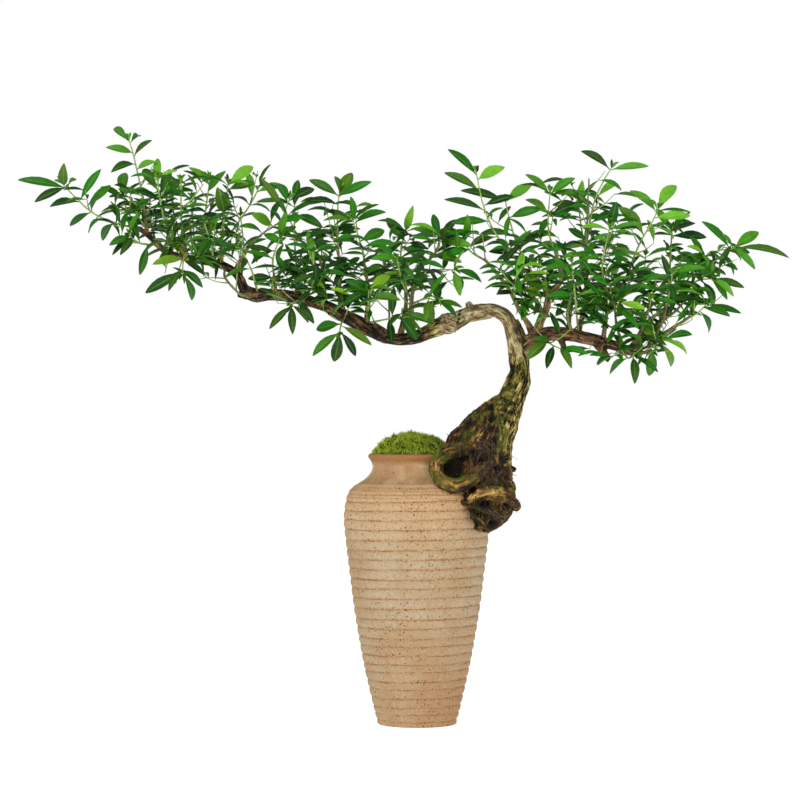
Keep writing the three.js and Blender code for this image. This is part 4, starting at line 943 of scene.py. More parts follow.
def spray(number, name, size, stem, depth, pairs, leaves):
    """A leafy spray: its stem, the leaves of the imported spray, side shoots with smaller leaves that fill it
    out, and a bud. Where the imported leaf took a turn, the same turn is found again from the packed
    corners."""
    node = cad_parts[name].data
    packed = np.empty((len(node.vertices), 3))
    node.vertices.foreach_get("co", packed.ravel())
    packed = packed / MM
    points = stem_line(stem, depth)
    first = SPRAY_KEYS * number
    wanted = [(first + i, 1, partial(traced_leaf, points, leaf)) for i, leaf in enumerate(leaves)]
    for pair, side in np.ndindex(pairs, 2):
        leaf_at = partial(paired_leaf, points, pairs, pair, side, size=size)
        wanted.append((first + PAIR_KEYS + 2 * pair + side, (pair + 1) / pairs, leaf_at))
    grown = []
    for key, fresh, leaf_at in wanted:
        tried = [leaf_at(key=key, turn=turn) for turn in TURNS]
        gaps = [np.linalg.norm(packed - leaf["tip"], axis=1).min() for leaf in tried]
        grown.append(coloured(tried[int(np.argmin(gaps))], key, fresh))
    lines, small = kept_shoots(side_shoots(points, SHOOTS, SHOOT_KEYS + first, *SHOOT_SPAN))
    thick = [1.0] + [SHOOT_THICK] * len(lines)
    grown += [*small, *bud(points, first + BUD_KEYS)]
    return leafy(name + "_leaves", [points, *lines], thick, grown, [name])


def leafy(name, lines, thick, grown, replaced):
    """A piece of green stems, each a line and a share of the usual thickness, with leaves on them."""
    paths = np.array([along(eased(line), np.linspace(0, 1, STEM_POINTS))[0] for line in lines])
    radii = STEM_RADIUS * np.array(thick)[:, None] * np.linspace(*STEM_TAPER, STEM_POINTS)
    stems = swept(paths, radii, STEM_SIDES)
    count = len(stems["corners"])
    stems.update(uv=np.full((count, 2), 0.5), under=np.zeros(count), tone=np.full(count, 0.5),
                 young=np.repeat(np.tile(np.linspace(0, 1, STEM_POINTS), len(lines)), STEM_SIDES))
    green = blades(grown)
    kinds = np.repeat([0, 1], [sum(map(len, shape["faces"])) for shape in (stems, green)])
    return piece(name, joined([stems, green]), [stem_green, leaf_green], replaced, kinds)


def inner_leaves(name, left, right):
    """Short shoots all along the twigs whose foot lies between left and right, which fill a pad's inside, and
    those that end at set places."""
    shoots = []
    for number, twig in enumerate(TWIGS):
        points = np.array(twig, float)[:, :3]
        if left <= points[0, 0] < right:
            shoots += side_shoots(points, TWIG_SHOOTS, TWIG_KEYS + SPRAY_KEYS * number, *TWIG_SPAN)
    for number, (x, z, y) in enumerate(SHOOT_ENDS):
        if left <= x < right:
            end = seen(x, z, y)
            root = nearest_wood(end)
            line = np.array([root, 0.5 * (root + end) + (0, 0, 1), end])
            shoots.append((line, shoot_leaves(line, END_KEYS + SPRAY_KEYS * number, END_SIZE)))
    lines, grown = kept_shoots(shoots)
    return leafy(name, lines, [SHOOT_THICK] * len(lines), grown, [])


def eased(line):
    """A line with its bends rounded."""
    return smooth_line(line, 1.5) if len(line) > 2 else line


# Wood


def limb_rod(stations):
    """A limb as a round rod along a smooth curve through its stations."""
    line = smooth_line(stations, 1.2)
    return swept(line[None, :, :3], line[None, :, 3], LIMB_SIDES)


def grain_of(corners, limbs):
    """For each corner, which limb's surface it is nearest to, and its place in the grain: the length along
    that limb, and how far out it lies along the limb's normal and across it."""
    best = np.full(len(corners), np.inf)
    owner = np.zeros(len(corners), int)
    grain = np.zeros((len(corners), 3))
    for number, limb in enumerate(limbs):
        stations = np.array(limb, float)
        run_before = 0
        for start, end in zip(stations, stations[1:]):
            run = end[:3] - start[:3]
            length = np.linalg.norm(run)
            heading = run / length
            normal = unit(np.cross(heading, CROSSWISE))
            beyond = corners - start[:3]
            share = np.clip(beyond @ heading / length, 0, 1)
            out = beyond - share[:, None] * run
            miss = np.linalg.norm(out, axis=1) - (start[3] + share * (end[3] - start[3]))
            nearer = miss < best
            best[nearer] = miss[nearer]
            owner[nearer] = number
            across = np.cross(heading, normal)
            place = np.stack([run_before + share * length, out @ normal, out @ across], 1)
            grain[nearer] = place[nearer]
            run_before += length
    return owner, grain


def spots(corners, places):
    """How much each corner lies in one of the round places x, z and reach of the front view: all up to 0.55
    of the reach, none beyond 1.15 of it, and only on the front of the wood."""
    total = np.zeros(len(corners))
    for x, z, reach in places:
        far = np.hypot(corners[:, 0] - x, corners[:, 2] - z) / reach
        total = np.maximum(total, ramp(far, 1.15, 0.55))
    return total * ramp(corners[:, 1], 4, -8)


def ridged(places, size, seed):
    """Noise that is 1 along sharp lines and falls off to both sides of them."""
    return 1 - np.abs(noise(places, size, seed)) * 2


def bark_relief(corners, grain):
    """How far bark stands out: furrows and flakes along the grain, and knots."""
    ridge = ridged(grain, (8, 1.7, 1.7), 3)
    furrow = ridged(grain, (16, 3.2, 3.2), 6)
    flake = noise(grain, (4, 2, 2), 4)
    knot = noise(corners, 2.6, 8)
    fine = noise(grain, (2.2, 0.8, 0.8), 5)
    return -0.3 * ridge - 0.35 * np.clip(furrow, 0, 1) ** 2 + 0.34 * flake + 0.22 * knot + 0.2 * fine


def root_mat(corners):
    """The tangle of the root mass: ridged noise, read at places that slower noise has shifted."""
    shift = np.stack([noise(corners, 5, seed) for seed in (9, 10, 11)], -1)
    return ridged(corners + 2.5 * shift, (3.4, 3.4, 2), 16)


def root_relief(corners, mat):
    """How far the root mass stands out: lumps of three sizes and the tangle."""
    lump, knot, tiny = noise(corners, 7, 7), noise(corners, 2.6, 8), noise(corners, 1.3, 20)
    return 0.8 * lump + 0.45 * knot + 0.4 * mat + 0.25 * tiny


def wood():
    """The stout limbs merged into one skin, then moved along its normals by the relief of the bark and of the
    root mass. Also says where each look belongs. The second result is the normals."""
    limbs = [ROOT_MASS, TRUNK, RIGHT_LIMB, *ROOTS, *FINE_ROOTS, *FILLS, *STUBS]
    rods = joined([limb_rod(limb) for limb in limbs])
    merge = ("REMESH", {"mode": "VOXEL", "voxel_size": WOOD_GRID * MM})
    skin, normals = applied(piece("stout_wood_rough", rods, [], None), merge)
    corners = skin["corners"]
    x, _, z = corners.T

    owner, grain = grain_of(corners, limbs)
    first_fill = FIRST_ROOT + len(ROOTS) + len(FINE_ROOTS)
    mass, ledge = owner == 0, owner == first_fill - 1
    loops = np.isin(owner, LOOP_ROOTS) | ledge
    rooty = mass | ((owner >= FIRST_ROOT) & (owner < first_fill))
    strand = ramp(x + 2 * noise(corners, 5, 28), 43, 48) * ramp(z, 143, 150)
    root = rooty * ramp(z, *ROOTS_END) * (1 - 0.9 * strand)
    high = ramp(z, *LIMBS_START)
    pale = ramp(z + 3 * noise(corners, 5, 15), 200, 208) * ramp(x + 3 * noise(corners, 4, 27), 9, 15)
    pale *= (owner == 1) | (owner > first_fill)

    mat = root_mat(corners)
    # The hollows are pressed in and painted near black as painted shade.
    hollow_and_painted_shade = spots(corners, HOLLOWS)
    rough = bark_relief(corners, grain) * (1 - 0.1 * pale)
    clod = np.where(mass, 1, 0.4) * root_relief(corners, mat)
    height = (1 - root) * rough * ramp(skin_radius(owner, limbs, corners), 1.5, 6) + root * clod
    height += 0.5 * (1 - root) * high * np.clip(noise(corners, 4.5, 18) - 0.35, 0, 1)
    height -= 1.6 * hollow_and_painted_shade * mass
    skin["corners"] = corners + normals * height[:, None]

    strips = np.max([spots(corners, smooth_line(strip, 1.0)) for strip in TAN_STRIPS], axis=0)
    # The left of the level root is bare tan wood and also gets a painted highlight through its crest.
    bare_ledge_and_painted_highlight = ledge * ramp(x, 49, 45)
    tan = strips * ramp(noise(corners, 2.6, 19), -0.7, 0.2)
    tan += loops * ramp(x, 50, 46) * ramp(noise(grain, (6, 2.5, 2.5), 17), -0.1, 0.5) + 0.6 * bare_ledge_and_painted_highlight
    patchy = ramp(noise(corners, 6, 12) + 0.4 * noise(corners, 2, 13), 0.2, 0.7)
    on_loops = loops * ramp(z, 132, 136) * ramp(noise(corners, 3.5, 12), -0.15, 0.4)
    mossy = spots(corners, MOSS_SPOTS) * ramp(noise(corners, 2.2, 26), -0.5, 0.3)
    mossy += 0.5 * ramp(z, 208, 192) * patchy + 0.8 * on_loops
    # Low places of the root tangle, painted near black as painted shade.
    pits_painted_shade = 0.85 * root * ramp(noise(corners, 4.5, 14), -0.4, -0.75) + 0.5 * root * ramp(mat, 0, -0.6)
    pits_painted_shade *= (1 - np.clip(strips, 0, 1)) * (1 - 0.8 * loops)
    # Crest is the relief height that the bark paints as highlight on crests and shade in cracks; the bare
    # ledge root is raised for a painted highlight.
    crest = 0.5 + np.where(root > 0.5, 0.35 * clod, 0.75 * rough) + 0.3 * bare_ledge_and_painted_highlight
    shares = {"tan": tan, "mossy": mossy, "hollow_and_painted_shade": hollow_and_painted_shade + pits_painted_shade, "crest": crest}
    looks = {"grain": grain, "pale": pale, "root": root, "fresh": np.zeros(len(corners)),
             "dark": high * ramp(x, *DARK_LEFT), "red": high * ramp(x, *RED_RIGHT)}
    looks.update({key: np.clip(share, 0, 1) for key, share in shares.items()})
    return {**skin, **looks}, normals


def skin_radius(owner, limbs, corners):
    """About how thick the wood is at each corner: the radius of its limb's nearest station."""
    thick = np.zeros(len(corners))
    for number, limb in enumerate(limbs):
        mine = owner == number
        if mine.any():
            stations = np.array(limb, float)
            gaps = np.linalg.norm(corners[mine][:, None] - stations[:, :3], axis=-1)
            thick[mine] = stations[np.argmin(gaps, axis=1), 3]
    return thick


def twigs():
    """The twigs as thin rods along smooth curves that wander a little, with the grain and looks of the limbs
    they grow from. The bare one is green, and so are the thin ends."""
    lines = np.array([resampled(smooth_line(twig, 1.5), TWIG_POINTS) for twig in TWIGS + FINE_TWIGS])
    places = lines[..., :3]
    wander = 0.35 * np.stack([noise(places, 7, seed) for seed in (21, 22, 23)], -1)
    wander[:, 0] = 0
    radii = lines[..., 3] * (1 + 0.12 * noise(places, 2.5, 24))
    radii[BARE_TWIG] *= np.linspace(0.95, 0.7, TWIG_POINTS)
    shape = swept(places + wander, radii, TWIG_SIDES)
    point, side = np.indices((TWIG_POINTS, TWIG_SIDES)).reshape(2, -1)
    grain = np.stack([point * 1.8, 2 * np.cos(side * 0.7), 2 * np.sin(side * 0.7)], 1)
    left = ramp(shape["corners"][:, 0], 40, 10)
    bare = np.repeat(np.arange(len(lines)) == BARE_TWIG, len(point))
    fresh = np.maximum(bare, 0.8 * ramp(radii.repeat(TWIG_SIDES, axis=-1).ravel(), 1.5, 0.9))
    none = np.zeros(len(left))
    return {**shape, **dict.fromkeys(("root", "tan", "mossy", "hollow_and_painted_shade"), none),
            "grain": np.tile(grain, (len(lines), 1)), "pale": none + 0.25, "dark": 0.5 * left,
            "red": 0.6 * (1 - left), "crest": none + 0.6, "fresh": fresh}


def front_of(corners, x, z):
    """The depth of the foremost corner in each millimetre cell of the front view, read at x and z. Where
    there is none, it is far behind."""
    depth = np.full(FRONT_CELLS, FAR_BEHIND)
    middle = FRONT_CELLS[0] // 2
    cell_x, cell_z = (corners[:, 0] + middle).astype(int), corners[:, 2].astype(int)
    np.minimum.at(depth, (cell_x, cell_z), corners[:, 1])
    return depth[(x + middle).astype(int), z.astype(int)]


def root_hairs(corners):
    """Fine roots that hang over the root mass. Each runs from a start a little way down and sideways in a
    lazy wave, and lies on the foremost wood of the front view. Where there is no wood, it is left out. Single
    strands follow their own places."""
    rng = np.random.default_rng(5)
    starts = []
    for left, right, low, high, count in HAIR_FIELDS:
        starts.append([rng.uniform(left, right, count), rng.uniform(low, high, count)])
    start_x, start_z = np.hstack(starts)[..., None]
    number = len(start_x)
    share = np.linspace(0, 1, HAIR_POINTS)
    reach = rng.uniform(4, 11, (number, 1))
    lean = rng.normal(-0.5 * math.pi, 0.75, (number, 1))
    turns = share * rng.uniform(0.6, 1.6, (number, 1)) + rng.random((number, 1))
    wave = rng.uniform(0.3, 1.1, (number, 1)) * np.sin(2 * math.pi * turns)
    x = start_x + np.cos(lean) * reach * share - np.sin(lean) * wave
    z = start_z + np.sin(lean) * reach * share + np.cos(lean) * wave
    curves = [smooth_line([(a, 0, b) for a, b in strand], 0.5) for strand in STRANDS]
    strands = np.array([resampled(curve, HAIR_POINTS) for curve in curves])
    x, z = np.vstack([x, strands[..., 0]]), np.vstack([z, strands[..., 2]])
    y = front_of(corners, x, z)
    on_wood = np.median(y, axis=1) < 20
    x, y, z = x[on_wood], y[on_wood], z[on_wood]
    y = np.minimum(y, np.median(y, axis=1, keepdims=True) + 2) - 0.15 - 0.5 * np.sin(math.pi * share)
    y[:, 1:-1] = (y[:, :-2] + y[:, 1:-1] + y[:, 2:]) / 3
    radii = rng.uniform(0.12, 0.3, (len(x), 1)) * np.linspace(1, 0.6, HAIR_POINTS)
    shape = swept(np.stack([x, y, z], -1), radii, HAIR_SIDES)
    tone = np.append(rng.random(number) ** 2, np.ones(len(STRANDS)))[on_wood]
    return {**shape, "tone": np.repeat(tone, HAIR_POINTS * HAIR_SIDES)}


# Moss


def tufts(places, normals, length, width, seed, bright=1.0):
    """Moss leaflets: slim three-sided spikes that stand on their places, leaning at random from the normal.
    Tip runs from 0 at the foot to the bright share at the point."""
    rng = np.random.default_rng(seed)
    count = len(places)
    way = unit(normals + rng.normal(0, TUFT_LEAN, (count, 3)))
    side = unit(np.cross(way, rng.normal(0, 1, (count, 3))))
    across = np.cross(way, side)
    angle = np.linspace(0, 2 * math.pi, 3, endpoint=False)[:, None]
    rim = np.cos(angle) * side[:, None] + np.sin(angle) * across[:, None]
    tall = length * rng.uniform(*TUFT_SIZES, (count, 1))
    foot = (places - TUFT_SUNK * way)[:, None] + width * rim
    tip = places + tall * way
    corners = np.concatenate([foot, tip[:, None]], 1).reshape(-1, 3)
    first = 4 * np.arange(count)[:, None, None]
    faces = (first + np.array([[0, 1, 3], [1, 2, 3], [2, 0, 3], [0, 2, 1]])).reshape(-1, 3)
    return {"corners": corners, "faces": [faces], "tip": np.tile([0, 0, 0, bright], count),
            "tone": np.repeat(rng.random(count), 4)}


def moss_dome():
    """The cushion: its profile turned about the axis. Above the third height of the profile it is free: there
    it is a little smaller and lower, leans, and has lumps of 0.09 sin(0.55 x + 0.4 z) cos(0.6 y - 0.5 z) and
    of noise. They swell its radius, and ten times as much in millimetres lifts it."""
    profile = smooth_line([(r, 0, z) for z, r in MOSS], 0.8)
    angle = np.linspace(0, 2 * math.pi, 96, endpoint=False)
    radius, height = profile[:, 0][:, None], profile[:, 2][:, None] + 0 * angle
    grid = np.stack([radius * np.cos(angle), radius * np.sin(angle), height], -1)
    free = np.clip((grid[..., 2] - MOSS[2][0]) / 4, 0, 1)
    lumps = np.sin(0.55 * grid[..., 0] + 0.4 * grid[..., 2]) * np.cos(0.6 * grid[..., 1] - 0.5 * grid[..., 2])
    lumps = 0.09 * lumps + 0.06 * noise(grid, 3.5, 31)
    grid[..., :2] *= (1 + free * (lumps - MOSS_SHRINK))[..., None]
    grid[..., 0] += free * MOSS_LEAN
    grid[..., 2] += free * (10 * lumps - MOSS_DROP)
    return grid


def grid_faces(rows, sides):
    """The quads between the rings of a turned grid."""
    ring, side = np.ogrid[:rows - 1, :sides]
    here, beside = ring * sides + side, ring * sides + (side + 1) % sides
    return np.stack([here, beside, beside + sides, here + sides], -1).reshape(-1, 4)


def turned_shape(grid):
    """A turned grid as a closed shape, with one flat face at each end."""
    rows, sides = grid.shape[:2]
    side = np.arange(sides)
    ends = [side[::-1][None], (side + (rows - 1) * sides)[None]]
    return {"corners": grid.reshape(-1, 3), "faces": [grid_faces(rows, sides), *ends]}


def moss():
    """The moss cushion: a dark dome under thousands of spikes."""
    grid = moss_dome()
    rows, sides = grid.shape[:2]
    along_way, round_way = np.gradient(grid, axis=0), np.roll(grid, -1, 1) - np.roll(grid, 1, 1)
    normals = unit(np.cross(round_way, along_way))
    corners = np.vstack([grid.reshape(-1, 3), grid[0].mean(0), grid[-1].mean(0)])
    foot, crown = rows * sides, rows * sides + 1
    side = np.arange(sides)
    after = (side + 1) % sides
    last = side + (rows - 1) * sides
    low = np.stack([after, side, np.full(sides, foot)], -1)
    high = np.stack([last, after + (rows - 1) * sides, np.full(sides, crown)], -1)
    dome = {"corners": corners, "faces": [grid_faces(rows, sides), low, high],
            "tip": np.zeros(len(corners)), "tone": np.full(len(corners), 0.5)}
    rng = np.random.default_rng(3)
    weight = np.sqrt(grid[..., 0] ** 2 + grid[..., 1] ** 2) * (grid[..., 2] > MOSS[1][0])
    pick = rng.choice(rows * sides, MOSS_TUFTS, p=(weight / weight.sum()).ravel())
    at = grid.reshape(-1, 3)[pick] + rng.normal(0, 0.25, (MOSS_TUFTS, 3))
    spikes = tufts(at, normals.reshape(-1, 3)[pick], TUFT_LENGTH, TUFT_WIDTH, 4)
    return joined([dome, spikes])


# Vase


def body_radius(height, angle):
    """The vase's outer radius: each band between two grooves swells by the ring depth."""
    profile = smooth_line([(z, 0, r) for z, r in [*BODY, *NECK]], 0.5)
    plain = np.interp(height, profile[:, 0], profile[:, 2])
    return plain + RING_DEPTH * (band_swell(height, angle, plain) - 0.5)


def band_swell(height, angle, radius):
    """0 in a groove and 1 at the middle of a band, as the root of the sine across it. The grooves climb to
    the right by the tilt and wander by noise. Towards the neck the bands fade out, and above the last
    groove the swell stays at 0.35."""
    level = height - RING_TILT * radius * np.cos(angle) * ramp(height, 0, 12)
    places = np.stack([2.4 * np.cos(angle), 2.4 * np.sin(angle), height / 4], -1)
    level = level + 0.35 * noise(places, 1.0, 41)
    rings = np.array([-2, *RING_HEIGHTS])
    band = np.clip(np.searchsorted(rings, level) - 1, 0, len(rings) - 2)
    share = np.clip((level - rings[band]) / (rings[band + 1] - rings[band]), 0, 1)
    swell = np.sqrt(np.sin(math.pi * share))
    shallow = ramp(height, 124, 134)
    return swell * (1 - shallow) + shallow * (0.35 + 0.3 * swell)


def vase(cutters):
    """The vase turned on its axis, then cut open where the root mass breaks its shoulder. Groove says how
    near a corner of the outside is to a groove."""
    heights = np.arange(0, VASE_RIM[0], VASE_ROW)
    angle = np.linspace(0, 2 * math.pi, VASE_SIDES, endpoint=False)
    tall = heights[:, None] + 0 * angle
    radius = body_radius(tall, angle + 0 * tall)
    radius[0] -= VASE_FOOT_EDGE
    lip = smooth_line([(r, 0, z) for z, r in [VASE_RIM, *LIP]], 1.2)
    inner = smooth_line([(r, 0, z) for z, r in [LIP[-1], *INSIDE]], 8)[1:]
    closing = np.vstack([lip, inner])
    radius = np.vstack([radius, closing[:, :1] + 0 * angle])
    tall = np.vstack([tall, closing[:, 2:] + 0 * angle])
    whole = turned_shape(np.stack([radius * np.cos(angle), radius * np.sin(angle), tall], -1))
    settings = {"operation": "DIFFERENCE", "solver": "MANIFOLD"}
    cuts = [("BOOLEAN", {**settings, "object": made}) for made in cutters]
    cut, _ = applied(piece("vase_whole", whole, [], None), *cuts)
    x, y, z = cut["corners"].T
    round_way, out = np.arctan2(y, x), np.hypot(x, y)
    outside = np.maximum(ramp(out - np.interp(z, *zip(*BODY)), -1.6, -1.0), ramp(z, 126, 131))
    cut["groove"] = outside * (1 - band_swell(z, round_way, out))
    return cut


def gap_cutter():
    """What the broken gap takes out of the shoulder: an egg with a ragged surface."""
    rows, sides = 24, 40
    polar = np.linspace(0, math.pi, rows + 2)[1:-1, None]
    angle = np.linspace(0, 2 * math.pi, sides, endpoint=False)
    level = np.sin(polar)
    ball = np.stack([level * np.cos(angle), level * np.sin(angle), -np.cos(polar) + 0 * angle], -1)
    ball = ball * (1 + 0.13 * noise(ball, 0.5, 51) + 0.06 * noise(ball, 0.2, 52))[..., None] * GAP_HALF_SIZE
    x, y, z = np.moveaxis(ball, -1, 0)
    cos, sin = math.cos(GAP_TURN), math.sin(GAP_TURN)
    egg = np.stack([cos * x - sin * y, sin * x + cos * y, z], -1) + GAP_CENTRE
    return piece("gap", turned_shape(egg), [], None)


# Finishes


class Wire:
    """A socket of a finish. Sums, differences and products with wires or numbers add its Math nodes."""

    def __init__(self, finish, socket):
        self.finish, self.socket = finish, socket

    def __add__(self, other):
        return self.finish.math("ADD", self, other)

    def __sub__(self, other):
        return self.finish.math("SUBTRACT", self, other)

    def __rsub__(self, other):
        return self.finish.math("SUBTRACT", other, self)

    def __mul__(self, other):
        return self.finish.math("MULTIPLY", self, other)

    __radd__, __rmul__ = __add__, __mul__


class Finish:
    """A material and the nodes that colour it."""

    def __init__(self, name, **constants):
        self.material = bpy.data.materials.new(name)
        self.material.use_nodes = True
        self.tree = self.material.node_tree
        self.shader = self.tree.nodes["Principled BSDF"]
        for socket, value in constants.items():
            self.shader.inputs[socket.replace("_", " ")].default_value = value

    def node(self, kind, settings, sockets, output=0):
        """Any node: its settings first, then the values or links of its sockets."""
        made = self.tree.nodes.new(kind)
        for key, value in settings.items():
            setattr(made, key, value)
        for key, value in sockets.items():
            self.feed(made.inputs[key], value)
        return Wire(self, made.outputs[output])

    def feed(self, socket, value):
        if isinstance(value, Wire):
            self.tree.links.new(value.socket, socket)
        else:
            socket.default_value = value

    def math(self, operation, first, second=0.0):
        return self.node("ShaderNodeMath", {"operation": operation}, {0: first, 1: second})

    def mix(self, share, first, second):
        return self.node("ShaderNodeMix", {"data_type": "RGBA"}, {0: share, 6: first, 7: second}, 2)

    def over(self, colour, *layers):
        """A colour with layers laid over it in turn, each how much of it shows and its colour."""
        for share, layer in layers:
            colour = self.mix(share, colour, layer)
        return colour

    def place(self):
        return self.node("ShaderNodeTexCoord", {}, {}, "Object")

    def value(self, name):
        return self.node("ShaderNodeAttribute", {"attribute_name": name}, {}, "Fac")

    def vector(self, name):
        return self.node("ShaderNodeAttribute", {"attribute_name": name}, {}, "Vector")

    def stretched(self, vector, scale):
        return self.node("ShaderNodeVectorMath", {"operation": "MULTIPLY"}, {0: vector, 1: scale})

    def part(self, vector, axis):
        return self.node("ShaderNodeSeparateXYZ", {}, {0: vector}, axis)

    def noise(self, vector, scale, detail=3.0, rough=0.55):
        sockets = {"Vector": vector, "Scale": scale, "Detail": detail, "Roughness": rough}
        return self.node("ShaderNodeTexNoise", {}, sockets)

    def between(self, value, low, high):
        """0 at low, 1 at high and smoothstep between them."""
        smooth = {"interpolation_type": "SMOOTHSTEP"}
        return self.node("ShaderNodeMapRange", smooth, {0: value, 1: low, 2: high})

    def specks(self, vector, scale, size, kept):
        """1 inside small round specks: near the middle of a cell, in the kept share of the cells."""
        cells = {"Vector": vector, "Scale": scale}
        near = self.node("ShaderNodeTexVoronoi", {}, cells, "Distance")
        pick = self.part(self.node("ShaderNodeTexVoronoi", {}, cells, "Color"), 0)
        return self.between(near, size, 0.6 * size) * self.between(pick, kept + 0.02, kept)

    def bump(self, height, distance, strength=1.0):
        sockets = {"Height": height, "Distance": distance, "Strength": strength}
        return self.node("ShaderNodeBump", {}, sockets)

    def done(self, **sockets):
        for socket, value in sockets.items():
            self.feed(self.shader.inputs[socket.replace("_", " ")], value)
        return self.material


def tint(red, green, blue):
    """A colour as a painter names it, 0 to 255, turned to light by the screen's curve."""
    share = np.array([red, green, blue]) / 255
    light = np.where(share <= 0.04045, share / 12.92, ((share + 0.055) / 1.055) ** 2.4)
    return (*light.tolist(), 1.0)


def stoneware():
    """Matt tan clay: warmer at the foot and on the shoulder, with ochre round the grooves, a brown line in
    each, fine lines on the shoulder, a calm neck painted pale as painted light that lifts the shade under the
    lip, a brown lip, and fine brown and dark grains."""
    clay = Finish("stoneware", Roughness=0.88)
    place = clay.place()
    height, across = clay.part(place, 2), clay.part(place, 0)
    low = clay.between(height, 0.08, 0.0)
    warm = low * clay.between(across, -0.03, 0.03) * 0.5 + low * 0.3
    above = clay.between(height, 0.131, 0.137)
    calm = 1 - above * 0.8
    # Painted light: the neck under the lip is painted paler to lift the shade that falls there.
    neck_painted_light = above * clay.between(height, 0.147, 0.143) * clay.between(clay.noise(place, 60.0), 0.3, 0.55)
    shoulder = clay.between(height, 0.122, 0.127) * clay.between(height, 0.136, 0.133)
    shoulder_line = clay.between(clay.math("SINE", height * SHOULDER_LINES), 0.2, 1.0) * shoulder
    grit = clay.noise(place, 1000.0, 3.0, 0.75)
    band = clay.value("groove") + (grit - 0.5) * calm * 1.2
    uneven = clay.between(clay.noise(place, 70.0, 3.0), 0.35, 0.6)
    fine = clay.specks(place, 520.0, 0.3, 0.45) * clay.between(clay.noise(place, 34.0, 2.0), 0.32, 0.6)
    coarse = clay.specks(place, 300.0, 0.2, 0.12)
    patch = clay.between(clay.noise(place, 42.0, 4.0), 0.35, 0.65)
    colour = clay.over(
        clay.mix(patch, tint(180, 160, 129), tint(172, 144, 107)),
        (warm, tint(162, 120, 76)),
        (clay.between(height, 0.09, 0.13) * 0.6, tint(206, 164, 116)),
        (neck_painted_light * 0.9, tint(244, 222, 186)),
        (clay.between(height, 0.143, 0.1475) * 0.9, tint(142, 86, 38)),
        (clay.between(band, 0.1, 0.6) * (uneven * 0.4 + 0.2), tint(182, 138, 84)),
        (clay.between(band, 0.4, 0.85) * (uneven * 0.35 + 0.5), tint(132, 88, 42)),
        (shoulder_line * (uneven * 0.4 + 0.35), tint(170, 116, 62)),
        (clay.between(grit, 0.55, 0.62) * calm * 0.55, tint(132, 98, 68)),
        (clay.between(grit, 0.44, 0.36) * calm * 0.25, tint(224, 206, 176)),
        (fine * calm * 0.8, tint(82, 58, 42)),
        (coarse * 0.85, tint(60, 44, 42)),
    )
    relief = clay.bump(grit * calm - fine * 0.5 - coarse * 0.4, 0.0005, 0.8)
    return clay.done(Base_Color=colour, Normal=relief)


def bark():
    """Weathered bark: light crests and dark cracks along the grain, partly the bark's own streaks and partly
    painted highlight on the raised crests and painted shade in the cracks. It is pale on the arch, near black
    on the left limb, reddish on the right one and green on fresh twigs. The roots are brown, with bare tan
    wood, moss, and hollows painted near black as painted shade."""
    skin = Finish("bark", Roughness=0.85, Specular_IOR_Level=0.25)
    grain, place = skin.vector("grain"), skin.place()
    streak = skin.noise(skin.stretched(grain, (0.12, 0.7, 0.7)), 1.0, 6.0, 0.7)
    fleck = skin.noise(skin.stretched(grain, (0.28, 1.0, 1.0)), 1.0, 6.0, 0.75)
    patch = skin.noise(place, 160.0, 4.0)
    # The grain's streaks plus the relief height: the top is partly painted highlight, low and the cracks
    # partly painted shade.
    crest = skin.value("crest") * 0.4 + fleck * 1.1 + streak * 1.1 - 0.8
    grain_light_and_painted_highlight = skin.between(crest, 0.53, 0.66)
    low = skin.between(crest, 0.47, 0.37)
    crack_and_painted_shade = skin.between(crest, 0.49, 0.39)

    trunk = skin.over(
        skin.mix(grain_light_and_painted_highlight, tint(172, 148, 68), tint(250, 232, 144)),
        (skin.between(patch, 0.48, 0.6) * 0.55, tint(84, 86, 32)),
        (crack_and_painted_shade, tint(22, 17, 6)),
    )
    pale = skin.over(skin.mix(grain_light_and_painted_highlight, tint(206, 184, 130), tint(246, 232, 190)), (low * 0.85, tint(84, 62, 34)))
    black = skin.over(skin.mix(grain_light_and_painted_highlight, tint(102, 80, 50), tint(180, 142, 96)), (low, tint(28, 20, 14)))
    reddish = skin.over(skin.mix(grain_light_and_painted_highlight, tint(136, 100, 70), tint(188, 150, 106)), (low, tint(62, 40, 28)))
    bare = skin.over(skin.mix(grain_light_and_painted_highlight, tint(156, 116, 52), tint(232, 192, 108)), (low, tint(60, 46, 18)))
    root = skin.over(
        skin.mix(grain_light_and_painted_highlight, tint(70, 48, 20), tint(160, 118, 58)),
        (skin.between(patch, 0.5, 0.58) * 0.5, tint(50, 52, 16)),
        (skin.between(patch, 0.42, 0.36) * 0.55, tint(110, 54, 32)),
        (crack_and_painted_shade, tint(15, 10, 5)),
        (skin.value("tan"), bare),
    )
    young = skin.mix(skin.between(streak, 0.45, 0.6), tint(162, 180, 112), tint(124, 138, 74))
    green = skin.mix(skin.between(patch, 0.35, 0.65), tint(38, 52, 12), tint(104, 116, 30))
    moss_share = skin.value("mossy") * skin.between(skin.noise(place, 520.0, 3.0), 0.3, 0.55)
    colour = skin.over(
        trunk,
        (skin.value("root"), root),
        (skin.value("pale"), pale),
        (skin.value("red"), reddish),
        (skin.value("dark"), black),
        (moss_share * 0.8, green),
        # Hollows and pits painted near black as painted shade.
        (skin.value("hollow_and_painted_shade") * 0.93, tint(13, 10, 7)),
        (skin.value("fresh"), young),
    )
    return skin.done(Base_Color=colour, Normal=skin.bump(streak + fleck, 0.002))


